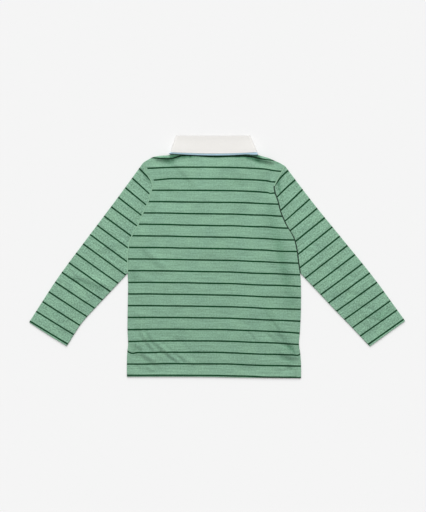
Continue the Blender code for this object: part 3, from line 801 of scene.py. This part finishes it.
def striped_knit(name, streaks, grain, hem_painted_light, top_painted_light):
    """The shirt's green jersey with its dark stripes.

    Streaks run along its courses, and painted shade makes it darker towards the hem, as light that falls
    off from the shoulders.
    """
    nodes = Nodes(name)
    across, up, bare = nodes.cloth()
    place = nodes.joined(across, up)
    along_course = nodes.joined(nodes.times(across, 0.06), up)
    along_wale = nodes.joined(across, nodes.times(up, 0.09))
    number = nodes.plus(
        nodes.times(up, 1 / (STRIPE_SPACE * MM)),
        nodes.times(nodes.noise(place, 260.0), 0.022),
        nodes.times(nodes.noise(place, 26.0), 0.03),
        0.5 - 0.026,
    )
    half = STRIPE_WIDTH / STRIPE_SPACE / 2
    stripe = nodes.ranged(nodes.from_whole(number), half - 0.008, half + 0.012, 1.0, 0.0)
    stripe = nodes.times(stripe, nodes.less(1.0, bare))
    blotches = nodes.noise(place, 30.0, 3.0)
    fuzz = nodes.noise(place, 1500.0, 3.0)
    height = jersey_height(nodes, across, up, WALE)
    layers = (
        (nodes.noise(along_course, 400.0, 3.0), streaks),
        (nodes.noise(along_course, 150.0), 0.16),
        (nodes.noise(along_wale, 420.0), 0.12),
        (nodes.noise(place, 360.0, 0.0), grain),
        (blotches, 0.26),
        (fuzz, 0.42),
    )
    # Painted shade: the tone is lower at the hem than at the shoulders, in place of light that falls off
    tone = nodes.ranged(up, 0.0, 0.42, hem_painted_light, top_painted_light)
    # The last term is painted shade in the hollows between stitches and painted light on their tops
    tone = nodes.plus(tone, *(nodes.swing(*layer) for layer in layers), nodes.times(height, 0.02))
    ground = nodes.mix(blotches, linear(*GREEN_COOL), linear(*GREEN_WARM))
    # Painted shade: greener where it is darker, and then taken off the tone
    painted_shade_tint = nodes.ranged(nodes.painted_shade(), 0.0, 1 / PAINTED_SHADE_SHARE, 0.0, 1.0)
    ground = nodes.mix(painted_shade_tint, ground, linear(*PAINTED_SHADE_GREEN))
    colour = nodes.mix(stripe, ground, linear(*STRIPE_GREEN))
    looks = {
        "Base Color": nodes.shaded(colour, nodes.less(tone, nodes.painted_shade())),
        "Roughness": nodes.plus(nodes.swing(fuzz, 0.15), 0.88),
        "Specular IOR Level": KNIT_SPECULAR,
        "Sheen Weight": 0.03,
        "Sheen Roughness": 0.5,
    }
    return nodes.finished(looks, nodes.plus(height, nodes.times(fuzz, 1.2)), KNIT_BUMP, 0.8)


def plain_knit(name, colour, shade):
    """Collar cloth: a close knit with fine ribs across the collar."""
    nodes = Nodes(name)
    across, up, _ = nodes.cloth()
    place = nodes.joined(across, up)
    fuzz = nodes.noise(place, 2200.0)
    height = jersey_height(nodes, across, up, RIB)
    # The height term is painted shade in the hollows of the ribs and painted light on their tops
    tone = nodes.plus(nodes.swing(fuzz, 0.10), nodes.times(height, 0.012), 1.0)
    mixed = nodes.mix(nodes.noise(place, 30.0, 3.0), linear(*colour), linear(*shade))
    # Painted shade and painted light on the collar cloth, taken off its tone
    looks = {
        "Base Color": nodes.shaded(mixed, nodes.less(tone, nodes.painted_shade())),
        "Roughness": nodes.plus(nodes.swing(fuzz, 0.12), 0.86),
        "Specular IOR Level": KNIT_SPECULAR,
        "Sheen Weight": 0.1,
    }
    return nodes.finished(looks, nodes.plus(height, fuzz), KNIT_BUMP, 0.7)


def thread_finish(name, colour):
    nodes = Nodes(name)
    fibre = nodes.object_noise(5000.0)
    bright = linear(*colour)
    base = nodes.mix(fibre, bright, tuple(share * 0.85 for share in bright))
    factor = nodes.plus(nodes.times(fibre, 0.3), 0.85)
    looks = {"Base Color": nodes.shaded(base, factor), "Roughness": 0.75}
    return nodes.finished(looks, fibre, 0.05 * MM)


def button_finish():
    nodes = Nodes("button_plastic")
    cloud = nodes.object_noise(420.0, 4.0)
    looks = {
        "Base Color": nodes.mix(cloud, linear(*BUTTON_LIGHT), linear(*BUTTON_SHADE)),
        "Roughness": nodes.plus(nodes.times(cloud, 0.2), 0.2),
        "Coat Weight": 0.3,
    }
    return nodes.finished(looks, cloud, 0.03 * MM, 0.4)


def floor_finish():
    nodes = Nodes("studio_paper")
    base = nodes.mix(nodes.object_noise(60.0, 4.0), FLOOR_LIGHT, FLOOR_SHADE)
    return nodes.finished({"Base Color": base, "Roughness": 0.95, "Specular IOR Level": 0.0})


def body_air(x, y, edge):
    """How far the back stands off the front where it has no crease."""
    air = BODY_AIR * smooth(0.0, AIR_RISES, edge + 1.0)
    for swell_x, swell_y, reach, height in SWELLS:
        away = np.hypot(x - swell_x, y - swell_y)
        air = air + height * np.exp(-((away / reach) ** 2)) * smooth(0.0, SWELL_RISES, edge)
    return air


def crumpled(x, y, edge, air, troughs):
    """The same with its creases, which stop where the two layers meet."""
    uneven = trough_depth(x, y, troughs) - ripple_height(x, y)
    return air - np.minimum(uneven * smooth(0.0, CREASE_RISES, edge), air)


def seam_pucker(away, run):
    """Small waves where the cloth is drawn up along a seam."""
    wave = sum(share * np.sin(tau * run / length + phase) for length, share, phase in PUCKER_WAVES)
    return PUCKER_HEIGHT * wave * np.exp(-away / PUCKER_REACH) * smooth(0.0, 1.5, away)


def bare_band(band_widths, y, away):
    """Where stripes stop short of a seam: 1 beside it, over a width that changes with height."""
    heights, widths = np.array(band_widths).T
    width = np.interp(y, heights, widths)
    return np.where(width > 0.2, 1 - smooth(width, width + 0.8, away), 0.0)


def make_back(finish):
    grid = panel_grid(back_neck(BACK_COLUMNS[1]), BACK_ROWS, BACK_COLUMNS[0])
    x, y = np.moveaxis(grid, 2, 0)
    up, down, right, left = reaches(grid)
    edge = np.minimum.reduce([up, down, right, left])
    top = back_middle(x, y) + GAP / 2 + WALL + crumpled(x, y, edge, body_air(x, y, edge), TROUGHS)
    outer = top + hem_relief(up, HEM_ROWS) - edge_drop(edge)
    outer = outer + seam_pucker(np.minimum(right, left), y)
    cloth = body_cloth(x, y, bare_band(BARE_BODY, y, right))
    piece = shell("back", lifted(grid, outer), lifted(grid, top - WALL), cloth, finish)
    return piece, grid, outer


def make_front(finish):
    grid = panel_grid(front_neck(FRONT_COLUMNS[1]), FRONT_ROWS, FRONT_COLUMNS[0])
    x, y = np.moveaxis(grid, 2, 0)
    bottom = pad_lift(x, y)
    up = reaches(grid)[0]
    groove = np.where(up < HEM_DEPTH - 1.0, HEM_RISE - hem_relief(up, HEM_ROWS), 0.0)
    outer = bottom + edge_drop(np.minimum.reduce(reaches(grid))) + groove
    cloth = body_cloth(x, y)
    piece = shell("front", lifted(grid, bottom + WALL), lifted(grid, outer), cloth, finish)
    height = FOLD_HEIGHT - SLIT_BOTTOM
    middle = ORIGIN + (0.0, (SLIT_BOTTOM + height / 2) * MM, 0.0)
    slit = bmesh.new()
    bmesh.ops.create_cube(slit, size=1.0)
    bmesh.ops.scale(slit, verts=slit.verts, vec=(SLIT_WIDTH * MM, height * MM, CUT_DEPTH * MM))
    bmesh.ops.translate(slit, verts=slit.verts, vec=tuple(middle))
    carve(piece, slit)
    return piece


def sleeve_plan(side):
    """Points of a sleeve seen from above: rows from armhole to cuff, columns from its top edge."""
    sign = SIGN[side]
    edges = np.array(SLEEVE_EDGES[side])
    upper = edges[:, :2] * (sign, 1)
    lower = edges[:, 2:] * (sign, 1)
    across = np.linspace(0, 1, SLEEVE_COLUMNS + 1)
    length = norm(upper[-1] - upper[0])
    grooves = [1 - (row + step) / length for row in CUFF_ROWS for step in GROOVE_STEPS]
    along = shares_of(SLEEVE_ROWS, extra=grooves)
    armhole = curve(side_points(side)[1], across)[::-1] + (sign * 2 * GAP, 0.0)
    run = unit(upper[-1] - upper[0])
    upper += UPPER_FULLNESS[side] * sign * np.array([-run[1], run[0]])
    upper[0] = armhole[0]
    lower[0] = armhole[-1]
    cuff = upper[-1] + across[:, None] * (lower[-1] - upper[-1])
    bow = CUFF_BOWS[side] * 4 * across * (1 - across)
    cuff = cuff + bow[:, None] * unit(upper[-1] - upper[-2])
    return patch(armhole, cuff, curve(upper, along), curve(lower, along), across, along)


def sleeve_rings(plan, radius, tops, bases):
    """Closed loops of a flat tube: across the top, round the lower edge and back beneath."""
    rings = []
    turns = np.radians(np.linspace(-90, 90, 9))

    def rounded(spot, inward, angles):
        out = FLAT_MIDDLE - radius * np.cos(angles)
        rises = FLAT_MIDDLE + radius * np.sin(angles)
        return [(*(spot + inward * step), rise) for step, rise in zip(out, rises)]

    for line, high, low in zip(plan, tops, bases):
        ring = rounded(line[0], unit(line[1] - line[0]), turns)
        ring += [(*spot, top) for spot, top in zip(line[1:-1], high[1:-1])]
        ring += rounded(line[-1], unit(line[-2] - line[-1]), turns[::-1])
        ring += [(*spot, base) for spot, base in zip(line[-2:0:-1], low[-2:0:-1])]
        rings.append(ring)
    return np.array(rings)


def make_sleeve(side, finish):
    plan = sleeve_plan(side)
    x, y = np.moveaxis(plan, 2, 0)
    from_arm, from_cuff, from_top, from_under = reaches(plan)
    near = np.minimum.reduce([from_arm, from_cuff, from_top, from_under])
    air = SLEEVE_AIR * smooth(0.0, AIR_RISES, near + 1.0)
    tops = 2 * WALL + GAP + crumpled(x, y, near, air, SLEEVE_TROUGHS)
    relief = hem_relief(from_cuff, CUFF_ROWS) * smooth(0.0, 3.0, np.minimum(from_top, from_under))
    bases = 0 * tops
    outer_tops = tops + relief + seam_pucker(from_under, from_arm) + seam_pucker(from_arm, y)
    outer = sleeve_rings(plan, FLAT_MIDDLE, outer_tops, bases)
    inner = sleeve_rings(plan, FLAT_MIDDLE - WALL, tops - WALL, bases + WALL)
    for row, away in enumerate(np.minimum(from_arm, from_cuff)[:, 0]):
        outer[row, :, 2] -= np.sign(outer[row, :, 2] - FLAT_MIDDLE) * edge_drop(away)
    x, y = outer[:, :, 0], outer[:, :, 1]
    across, up = sleeve_cloth(side, x, y)
    bare = bare_band(BARE_SLEEVE, y, from_arm[:, :1]) if side == "left" else 0 * up
    # Painted shade and painted light along the sleeve's creases
    cloth = (across, up, bare, trough_depth(x, y, SLEEVE_PAINTED_SHADES))
    piece = shell(f"sleeve_{side}", outer, inner, cloth, finish, wrap=True)
    return piece, plan, outer_tops


def collar_stations():
    """Lines of the flattened collar from centre front, round the back, to centre front.

    Each gives seam, fold, edge and lip in plan, the way out of the stack and its middle height.
    """
    halves = {}
    steps = BACK_COLUMNS[1]
    shares = np.linspace(0, 1, steps + 1)
    tilt = radians(SIDE_FOLD_TILT)
    for side, sign in SIGN.items():
        seam, fold = neck_half(side, steps)
        sides = COLLAR_SIDES[side]
        leaf = [(sign * share * sides[EDGE_OUT], EDGE_HEIGHT - drop) for share, drop in LEAF_EDGE]
        edge = curve(leaf, shares)
        away = edge - fold
        lip = edge + LIP_SHOWS * away / norm(away, axis=1, keepdims=True)
        end = np.array([sign * sides[LIP_OUT], LIP_HEIGHT - END_DROOP[side]])
        lip = lip + (1 - smooth(0.0, 0.12, shares))[:, None] * (end - lip[0])
        lines = [(*line, -UP, front_middle) for line in zip(seam, fold, edge, lip)][::-1]
        sideways = np.array([sign * cos(tilt), sin(tilt), 0.0])
        for angle in np.radians(np.linspace(-90, 90, SIDE_FOLD_TURNS + 2)[1:-1]):
            out = sideways * cos(angle) + UP * sin(angle)
            lines.append((seam[0], fold[0], edge[0], lip[0], out, front_middle))
        halves[side] = lines
    stations = []
    for seam in back_neck(steps):
        side = "left" if seam[0] < 0 else "right"
        sides = COLLAR_SIDES[side]
        share = seam[0] / sides[SEAM_OUT]
        middle = 1 - share**2
        fold = np.array([share * sides[FOLD_OUT], FOLD_HEIGHT])
        edge = np.array([share * sides[EDGE_OUT], EDGE_HEIGHT - EDGE_SAG * middle])
        droop = END_DROOP[side] * float(smooth(0.7, 1.0, abs(share)))
        lip = np.array([share * sides[LIP_OUT], LIP_HEIGHT - LIP_SAG * middle - droop])
        stations.append((seam, fold, edge, lip, UP, back_middle))
    return halves["left"] + stations + halves["right"][::-1]


def on_middle(spot, middle):
    return np.array([spot[0], spot[1], float(middle(spot[0], spot[1]))])


def lift_off(spot, out, step):
    """How far the fall stands off the back at this share of its depth, and more at its ends."""
    end = float(smooth(0.5 * SEAM_REACH, SEAM_REACH, abs(spot[0])))
    rise = (COLLAR_RISE + END_RISE * end) * max(0.0, out[2]) * float(smooth(0.0, 1.0, step))
    return np.array([0.0, 0.0, rise])


def band(node, paths, facings, painted_shading, finish, slot):
    """A wall along many stations, from its middle points and the way its outside faces."""
    paths, facings = np.array(paths), np.array(facings)
    up = travelled(paths.swapaxes(0, 1)).T
    along = travelled(paths.mean(axis=1))[:, None] + 0 * up
    edge = np.minimum(up, up[:, -1:] - up)
    half = WALL / 2 - np.minimum(edge_drop(edge), WALL / 2 - EDGE_LEAST / 2)
    stand = facings * half[:, :, None]
    # The painted shade and painted light of each point of the band
    cloth = (along, up, 0 * up, painted_shading + 0 * up)
    return shell(node, paths + stand, paths - stand, cloth, finish, slot)


def rolled_steps(count):
    """Even shares of a short wall's height, with close ones at its free edge."""
    return np.array([*np.linspace(0, 1, count + 1)[1:-1], 0.96, 0.98, 0.992, 1.0])


def make_collar(finish):
    """Stand and fall in one folded piece, as a knitted collar is."""
    paths, facings, painted_collar_shading = [], [], []
    for seam, fold, edge, _, out, middle in collar_stations():
        foot = seam + GAP * unit(fold - seam)
        beyond = np.array([*unit(unit(fold - edge) + unit(fold - seam)), 0.0])
        path, facing, folded = [], [], []
        for step in (1 - rolled_steps(10))[::-1]:
            path.append(on_middle(foot + (fold - foot) * step, middle) + out * PANEL_LEVEL)
            facing.append(-out)
            folded.append(0.0)
        crown = on_middle(fold, middle) + out * UNDER_COLLAR_LEVEL
        for angle in np.radians(np.linspace(180, 0, 15)):
            turn = out * cos(angle) + beyond * sin(angle)
            path.append(crown + turn * LAYER)
            facing.append(turn)
            # Painted shade on the crown of the fold, against the light it catches there
            folded.append(sin(angle))
        for step in rolled_steps(14):
            spot = on_middle(fold + (edge - fold) * step, middle)
            path.append(spot + out * COLLAR_LEVEL + lift_off(spot, out, step))
            facing.append(out)
            # Painted light along the free edge of the fall
            folded.append(-float(smooth(0.95, 0.99, step)))
        paths.append(path)
        facings.append(facing)
        painted_collar_shading.append(folded)
    return band("collar", paths, facings, FOLD_SHADE * np.array(painted_collar_shading), finish, "white_knit")


def make_under_collar(finish):
    """The layer inside the fall, whose edge shows below it."""
    paths, facings = [], []
    covered = np.linspace(0, 1, 9)
    shown = np.array([0.25, 0.5, 0.75, 0.88, 0.95, 1.0])
    # Painted light where the lip comes out from under the fall and painted shade towards its lower edge
    painted_shading = np.concatenate([0 * covered - LIP_SHADE, LIP_SHADE * (2 * shown - 1)])
    for _, fold, edge, lip, out, middle in collar_stations():
        path = []
        for start, end, steps, lifts in (
            (fold, edge, covered, covered),
            (edge, lip, shown, 1.0 + 0 * shown),
        ):
            for step, lift in zip(steps, lifts):
                spot = on_middle(start + (end - start) * step, middle)
                path.append(spot + out * UNDER_COLLAR_LEVEL + lift_off(spot, out, lift))
        paths.append(path)
        facings.append([out] * len(path))
    return band("under_collar", paths, facings, painted_shading, finish, "blue_knit")


def make_strip(node, width, bottom, level, finish):
    """A placket strip that lies flat, its middle this far below the middle of the stack."""
    across = (shares_of(16, extra=(0.012, 0.03, 0.97, 0.988)) - 0.5) * width
    along = bottom + shares_of(60, extra=(0.004, 0.996)) * (PLACKET_TOP - bottom)
    grid = np.stack(np.meshgrid(across, along), axis=2)
    x, y = np.moveaxis(grid, 2, 0)
    low = front_middle(x, y) - level - WALL / 2
    outer = low + edge_drop(np.minimum.reduce(reaches(grid)))
    piece = shell(node, lifted(grid, low + WALL), lifted(grid, outer), body_cloth(x, y), finish)


def ring_points(centre, beside, out, size, sides):
    angles = tau * np.arange(sides)[:, None] / sides
    return list(centre + size * (beside * np.cos(angles) + out * np.sin(angles)))


def tube_faces(start, rings, sides):
    """Faces of a closed thread of rings, with a face at each end."""
    spots = numbered(start, rings, sides, True)
    return [*grid_faces(spots), spots[0, -2::-1].tolist(), spots[-1, :-1].tolist()]


def add_threads(name, runs, radius, bulge, finish):
    """Short threads in one piece. Each run is (from, to, out): two points and the way up."""
    points, faces = [], []
    sides, rings = 6, 5
    for run in runs:
        start, end, out = (np.asarray(value, float) for value in run)
        beside = np.cross(unit(end - start), out)
        faces += tube_faces(len(points), rings, sides)
        for share in np.linspace(0, 1, rings):
            swell = sin(pi * share)
            centre = start + (end - start) * share + out * bulge * (swell - 0.5)
            points += ring_points(centre, beside, out, radius * (0.55 + 0.45 * swell), sides)
    mesh = new_mesh(name, points, faces)
    mesh.shade_smooth()
    add_piece(name, mesh, finish, "green_knit")


def sew(name, paths, finish):
    """Stitches along chains of points, end to end with short spaces between them."""
    runs = []
    for path in paths:
        path = np.asarray(path, float)
        reached = travelled(path)
        for step in range(int(reached[-1] // STITCH_SPACE)):
            start = step * STITCH_SPACE + 0.4
            ends = [
                [np.interp(at, reached, part) for part in path.T]
                for at in (start, start + STITCH_LENGTH)
            ]
            runs.append((*ends, UP))
    add_threads(name, runs, STITCH_RADIUS, STITCH_BULGE, finish)


def sew_rows(name, grid, heights, rows, ends_left, finish):
    """Rows of stitches on a surface, at these distances from its first row of points."""
    away = travelled(grid)
    paths = []
    for distance in rows:
        path = []
        for column in range(ends_left, grid.shape[1] - ends_left):
            parts = (*grid[:, column].T, heights[:, column])
            path.append([np.interp(distance, away[:, column], part) for part in parts])
        paths.append(path)
    sew(name, paths, finish)


def sew_vent(side, grid, heights, finish):
    """A small box of stitches that holds the top of the side vent."""
    line = grid[:, :, 0].mean(axis=0)
    inner, outer = (SIGN[side] * out for out in VENT_BOX_REACH)
    low, high = VENT_BOX_HEIGHTS
    corners = np.array([(outer, low), (inner, low), (inner, high), (outer, high)])
    paths = []
    for start, end in zip(corners, corners[1:]):
        path = []
        for x, y in np.linspace(start, end, 12):
            column = int(np.argmin(np.abs(line - x)))
            level = np.interp(y, grid[:, column, 1], heights[:, column])
            path.append([x, y, level + STITCH_LIFT])
        paths.append(path)
    sew(f"vent_stitches_{side}", paths, finish)


def make_armhole_seam(name, side, low, high, finish):
    """The thread that joins a sleeve to the body, seen down in the seam between two shares."""
    radius, level = ARMHOLE_SEAMS[side]
    path = curve(side_points(side)[1], np.linspace(low, high, 260)) + (SIGN[side] * GAP, 0.0)
    run = np.gradient(path, axis=0)
    run = run / norm(run, axis=1, keepdims=True)
    sides = 8
    points = []
    for row, (spot, way) in enumerate(zip(path, run)):
        size = radius * (1.0 + 0.12 * sin(row * 1.9))
        beside = np.array([way[1], -way[0], 0.0])
        points += ring_points(np.array([*spot, level]), beside, 0.55 * UP, size, sides)
    mesh = new_mesh(name, points, tube_faces(0, len(path), sides))
    mesh.shade_smooth()
    add_piece(name, mesh, finish, "green_knit")


def make_button(number, height, finish, thread):
    """A four-hole button face down, sewn on with a cross of thread."""
    name = f"button_{number}"
    radius, half = BUTTON_RADIUS, BUTTON_THICKNESS / 2
    rim = radius - BUTTON_ROUND
    profile = [(0.0, 2 * half)]
    for angle in np.radians(np.linspace(90, -90, 9)):
        up = half + (half - 0.02) * sin(angle)
        profile.append((rim + BUTTON_ROUND * cos(angle), up))
    profile += [(radius - 1.3, 0.03), (radius - 1.7, 0.2), (radius - 2.0, 0.42), (0.0, 0.46)]
    shaped = bmesh.new()
    corners = [shaped.verts.new((out * MM, 0.0, up * MM)) for out, up in profile]
    edges = [shaped.edges.new(pair) for pair in zip(corners, corners[1:])]
    spin = {"cent": (0, 0, 0), "axis": (0, 0, 1), "angle": tau, "steps": 48}
    bmesh.ops.spin(shaped, geom=corners + edges, use_merge=True, **spin)
    bmesh.ops.remove_doubles(shaped, verts=shaped.verts, dist=1e-6)
    bmesh.ops.recalc_face_normals(shaped, faces=shaped.faces)
    bmesh.ops.translate(shaped, verts=shaped.verts, vec=tuple(ORIGIN + (0.0, height * MM, 0.0)))
    piece = add_piece(f"{name}_shell", mesh_of(f"{name}_shell", shaped), finish, "button", name)
    holes = bmesh.new()
    cone = {"cap_ends": True, "segments": 16, "depth": 6 * MM}
    for x_side, y_side in ((-1, -1), (-1, 1), (1, -1), (1, 1)):
        made = bmesh.ops.create_cone(holes, radius1=HOLE_RADIUS, radius2=HOLE_RADIUS, **cone)
        place = np.array([x_side * HOLE_SPREAD, height + y_side * HOLE_SPREAD, 0.0]) * MM
        bmesh.ops.translate(holes, verts=made["verts"], vec=tuple(ORIGIN + place))
    carve(piece, holes)
    piece.data.shade_smooth()
    piece.data.set_sharp_from_angle(angle=radians(BUTTON_SHARP))
    low, high = height - HOLE_SPREAD, height + HOLE_SPREAD
    runs = [
        ((side * HOLE_SPREAD, low, 0.42), (-side * HOLE_SPREAD, high, 0.42), -UP)
        for side in (-1, 1)
    ]
    add_threads(f"button_thread_{number}", runs, STITCH_RADIUS, 0.15, thread)


def make_stage():
    """Pale floor, even soft light from above and beyond the collar, and the camera."""
    scene = bpy.context.scene
    mesh = bpy.data.meshes.new("floor")
    corners = [(x * FLOOR_REACH, y * FLOOR_REACH, -GAP * MM) for x, y in FLOOR_CORNERS]
    mesh.from_pydata(corners, [], [(0, 1, 2, 3)])
    mesh.materials.append(floor_finish())
    linked("floor", mesh)
    world = bpy.data.worlds.new("studio")
    world.use_nodes = True
    light = world.node_tree.nodes["Background"].inputs
    light["Color"].default_value = (1.0, 1.0, 1.0, 1.0)
    light["Strength"].default_value = WORLD_LIGHT
    scene.world = world
    lamp = bpy.data.lights.new("soft_key", "SUN")
    lamp.energy = KEY_LIGHT
    lamp.angle = radians(KEY_SPREAD)
    key = linked("soft_key", lamp)
    key.rotation_euler = (radians(-KEY_TILT), 0.0, radians(KEY_TURN))
    lens = bpy.data.cameras.new("camera")
    lens.lens = LENS
    lens.sensor_width = SENSOR
    lens.clip_start, lens.clip_end = CLIP
    scene.camera = linked("camera", lens)
    in_x = (PICTURE_WIDTH / 2 - CENTRE_LINE_PIXEL) * PIXEL_SIZE
    in_y = (HEM_PIXEL - PICTURE_HEIGHT / 2) * PIXEL_SIZE
    above = PICTURE_HEIGHT * PIXEL_SIZE * LENS / SENSOR
    scene.camera.location = ORIGIN + np.array([in_x, in_y, above]) * MM
    scene.view_settings.view_transform = "Standard"


def main():
    make_stage()
    # The last two numbers give the painted light at the hem and at the top
    knit = striped_knit("striped_knit", 0.68, 0.48, 0.93, 1.065)
    sleeve_knit = striped_knit("striped_sleeve_knit", 0.80, 1.0, 1.0, 1.03)
    white = plain_knit("white_knit", WHITE, WHITE_SHADE)
    blue = plain_knit("blue_knit", BLUE, BLUE_SHADE)
    thread = thread_finish("green_thread", GREEN_THREAD)
    seam_highlight_finish = thread_finish("painted_highlight_seam_thread", SEAM_HIGHLIGHT_GREEN)
    seam_shadow_finish = thread_finish("painted_shadow_seam_thread", SEAM_SHADOW_GREEN)
    plastic = button_finish()
    back, grid, heights = make_back(knit)
    front = make_front(knit)
    for side in SIGN:
        sleeve, plan, tops = make_sleeve(side, sleeve_knit)
        lifts = tops[::-1] + CUFF_STITCH_LIFT
        sew_rows(f"cuff_stitches_{side}", plan[::-1], lifts, CUFF_ROWS, 1, thread)
        sew_vent(side, grid, heights, thread)
    # The left seam and the top of the right one get the lighter thread as painted highlight; the rest of
    # the right seam gets the dark thread as painted shadow
    make_armhole_seam("armhole_seam_left", "left", 0.004, 0.992, seam_highlight_finish)
    make_armhole_seam("armhole_seam_right", "right", 0.004, 0.80, seam_shadow_finish)
    make_armhole_seam("armhole_seam_right_top", "right", 0.802, 0.992, seam_highlight_finish)
    make_collar(white)
    make_under_collar(blue)
    for node, width, bottom, level in (
        ("placket_outer", PLACKET_WIDTH, PLACKET_BOTTOM, UNDER_COLLAR_LEVEL),
        ("placket_inner", SLIT_WIDTH - 2 * GAP, SLIT_BOTTOM + GAP, PANEL_LEVEL),
    ):
        make_strip(node, width, bottom, level, knit)
    sew_rows("hem_stitches", grid, heights + STITCH_LIFT, HEM_ROWS, 4, thread)
    for number, height in enumerate(BUTTON_HEIGHTS, start=1):
        make_button(number, height, plastic, thread)


main()
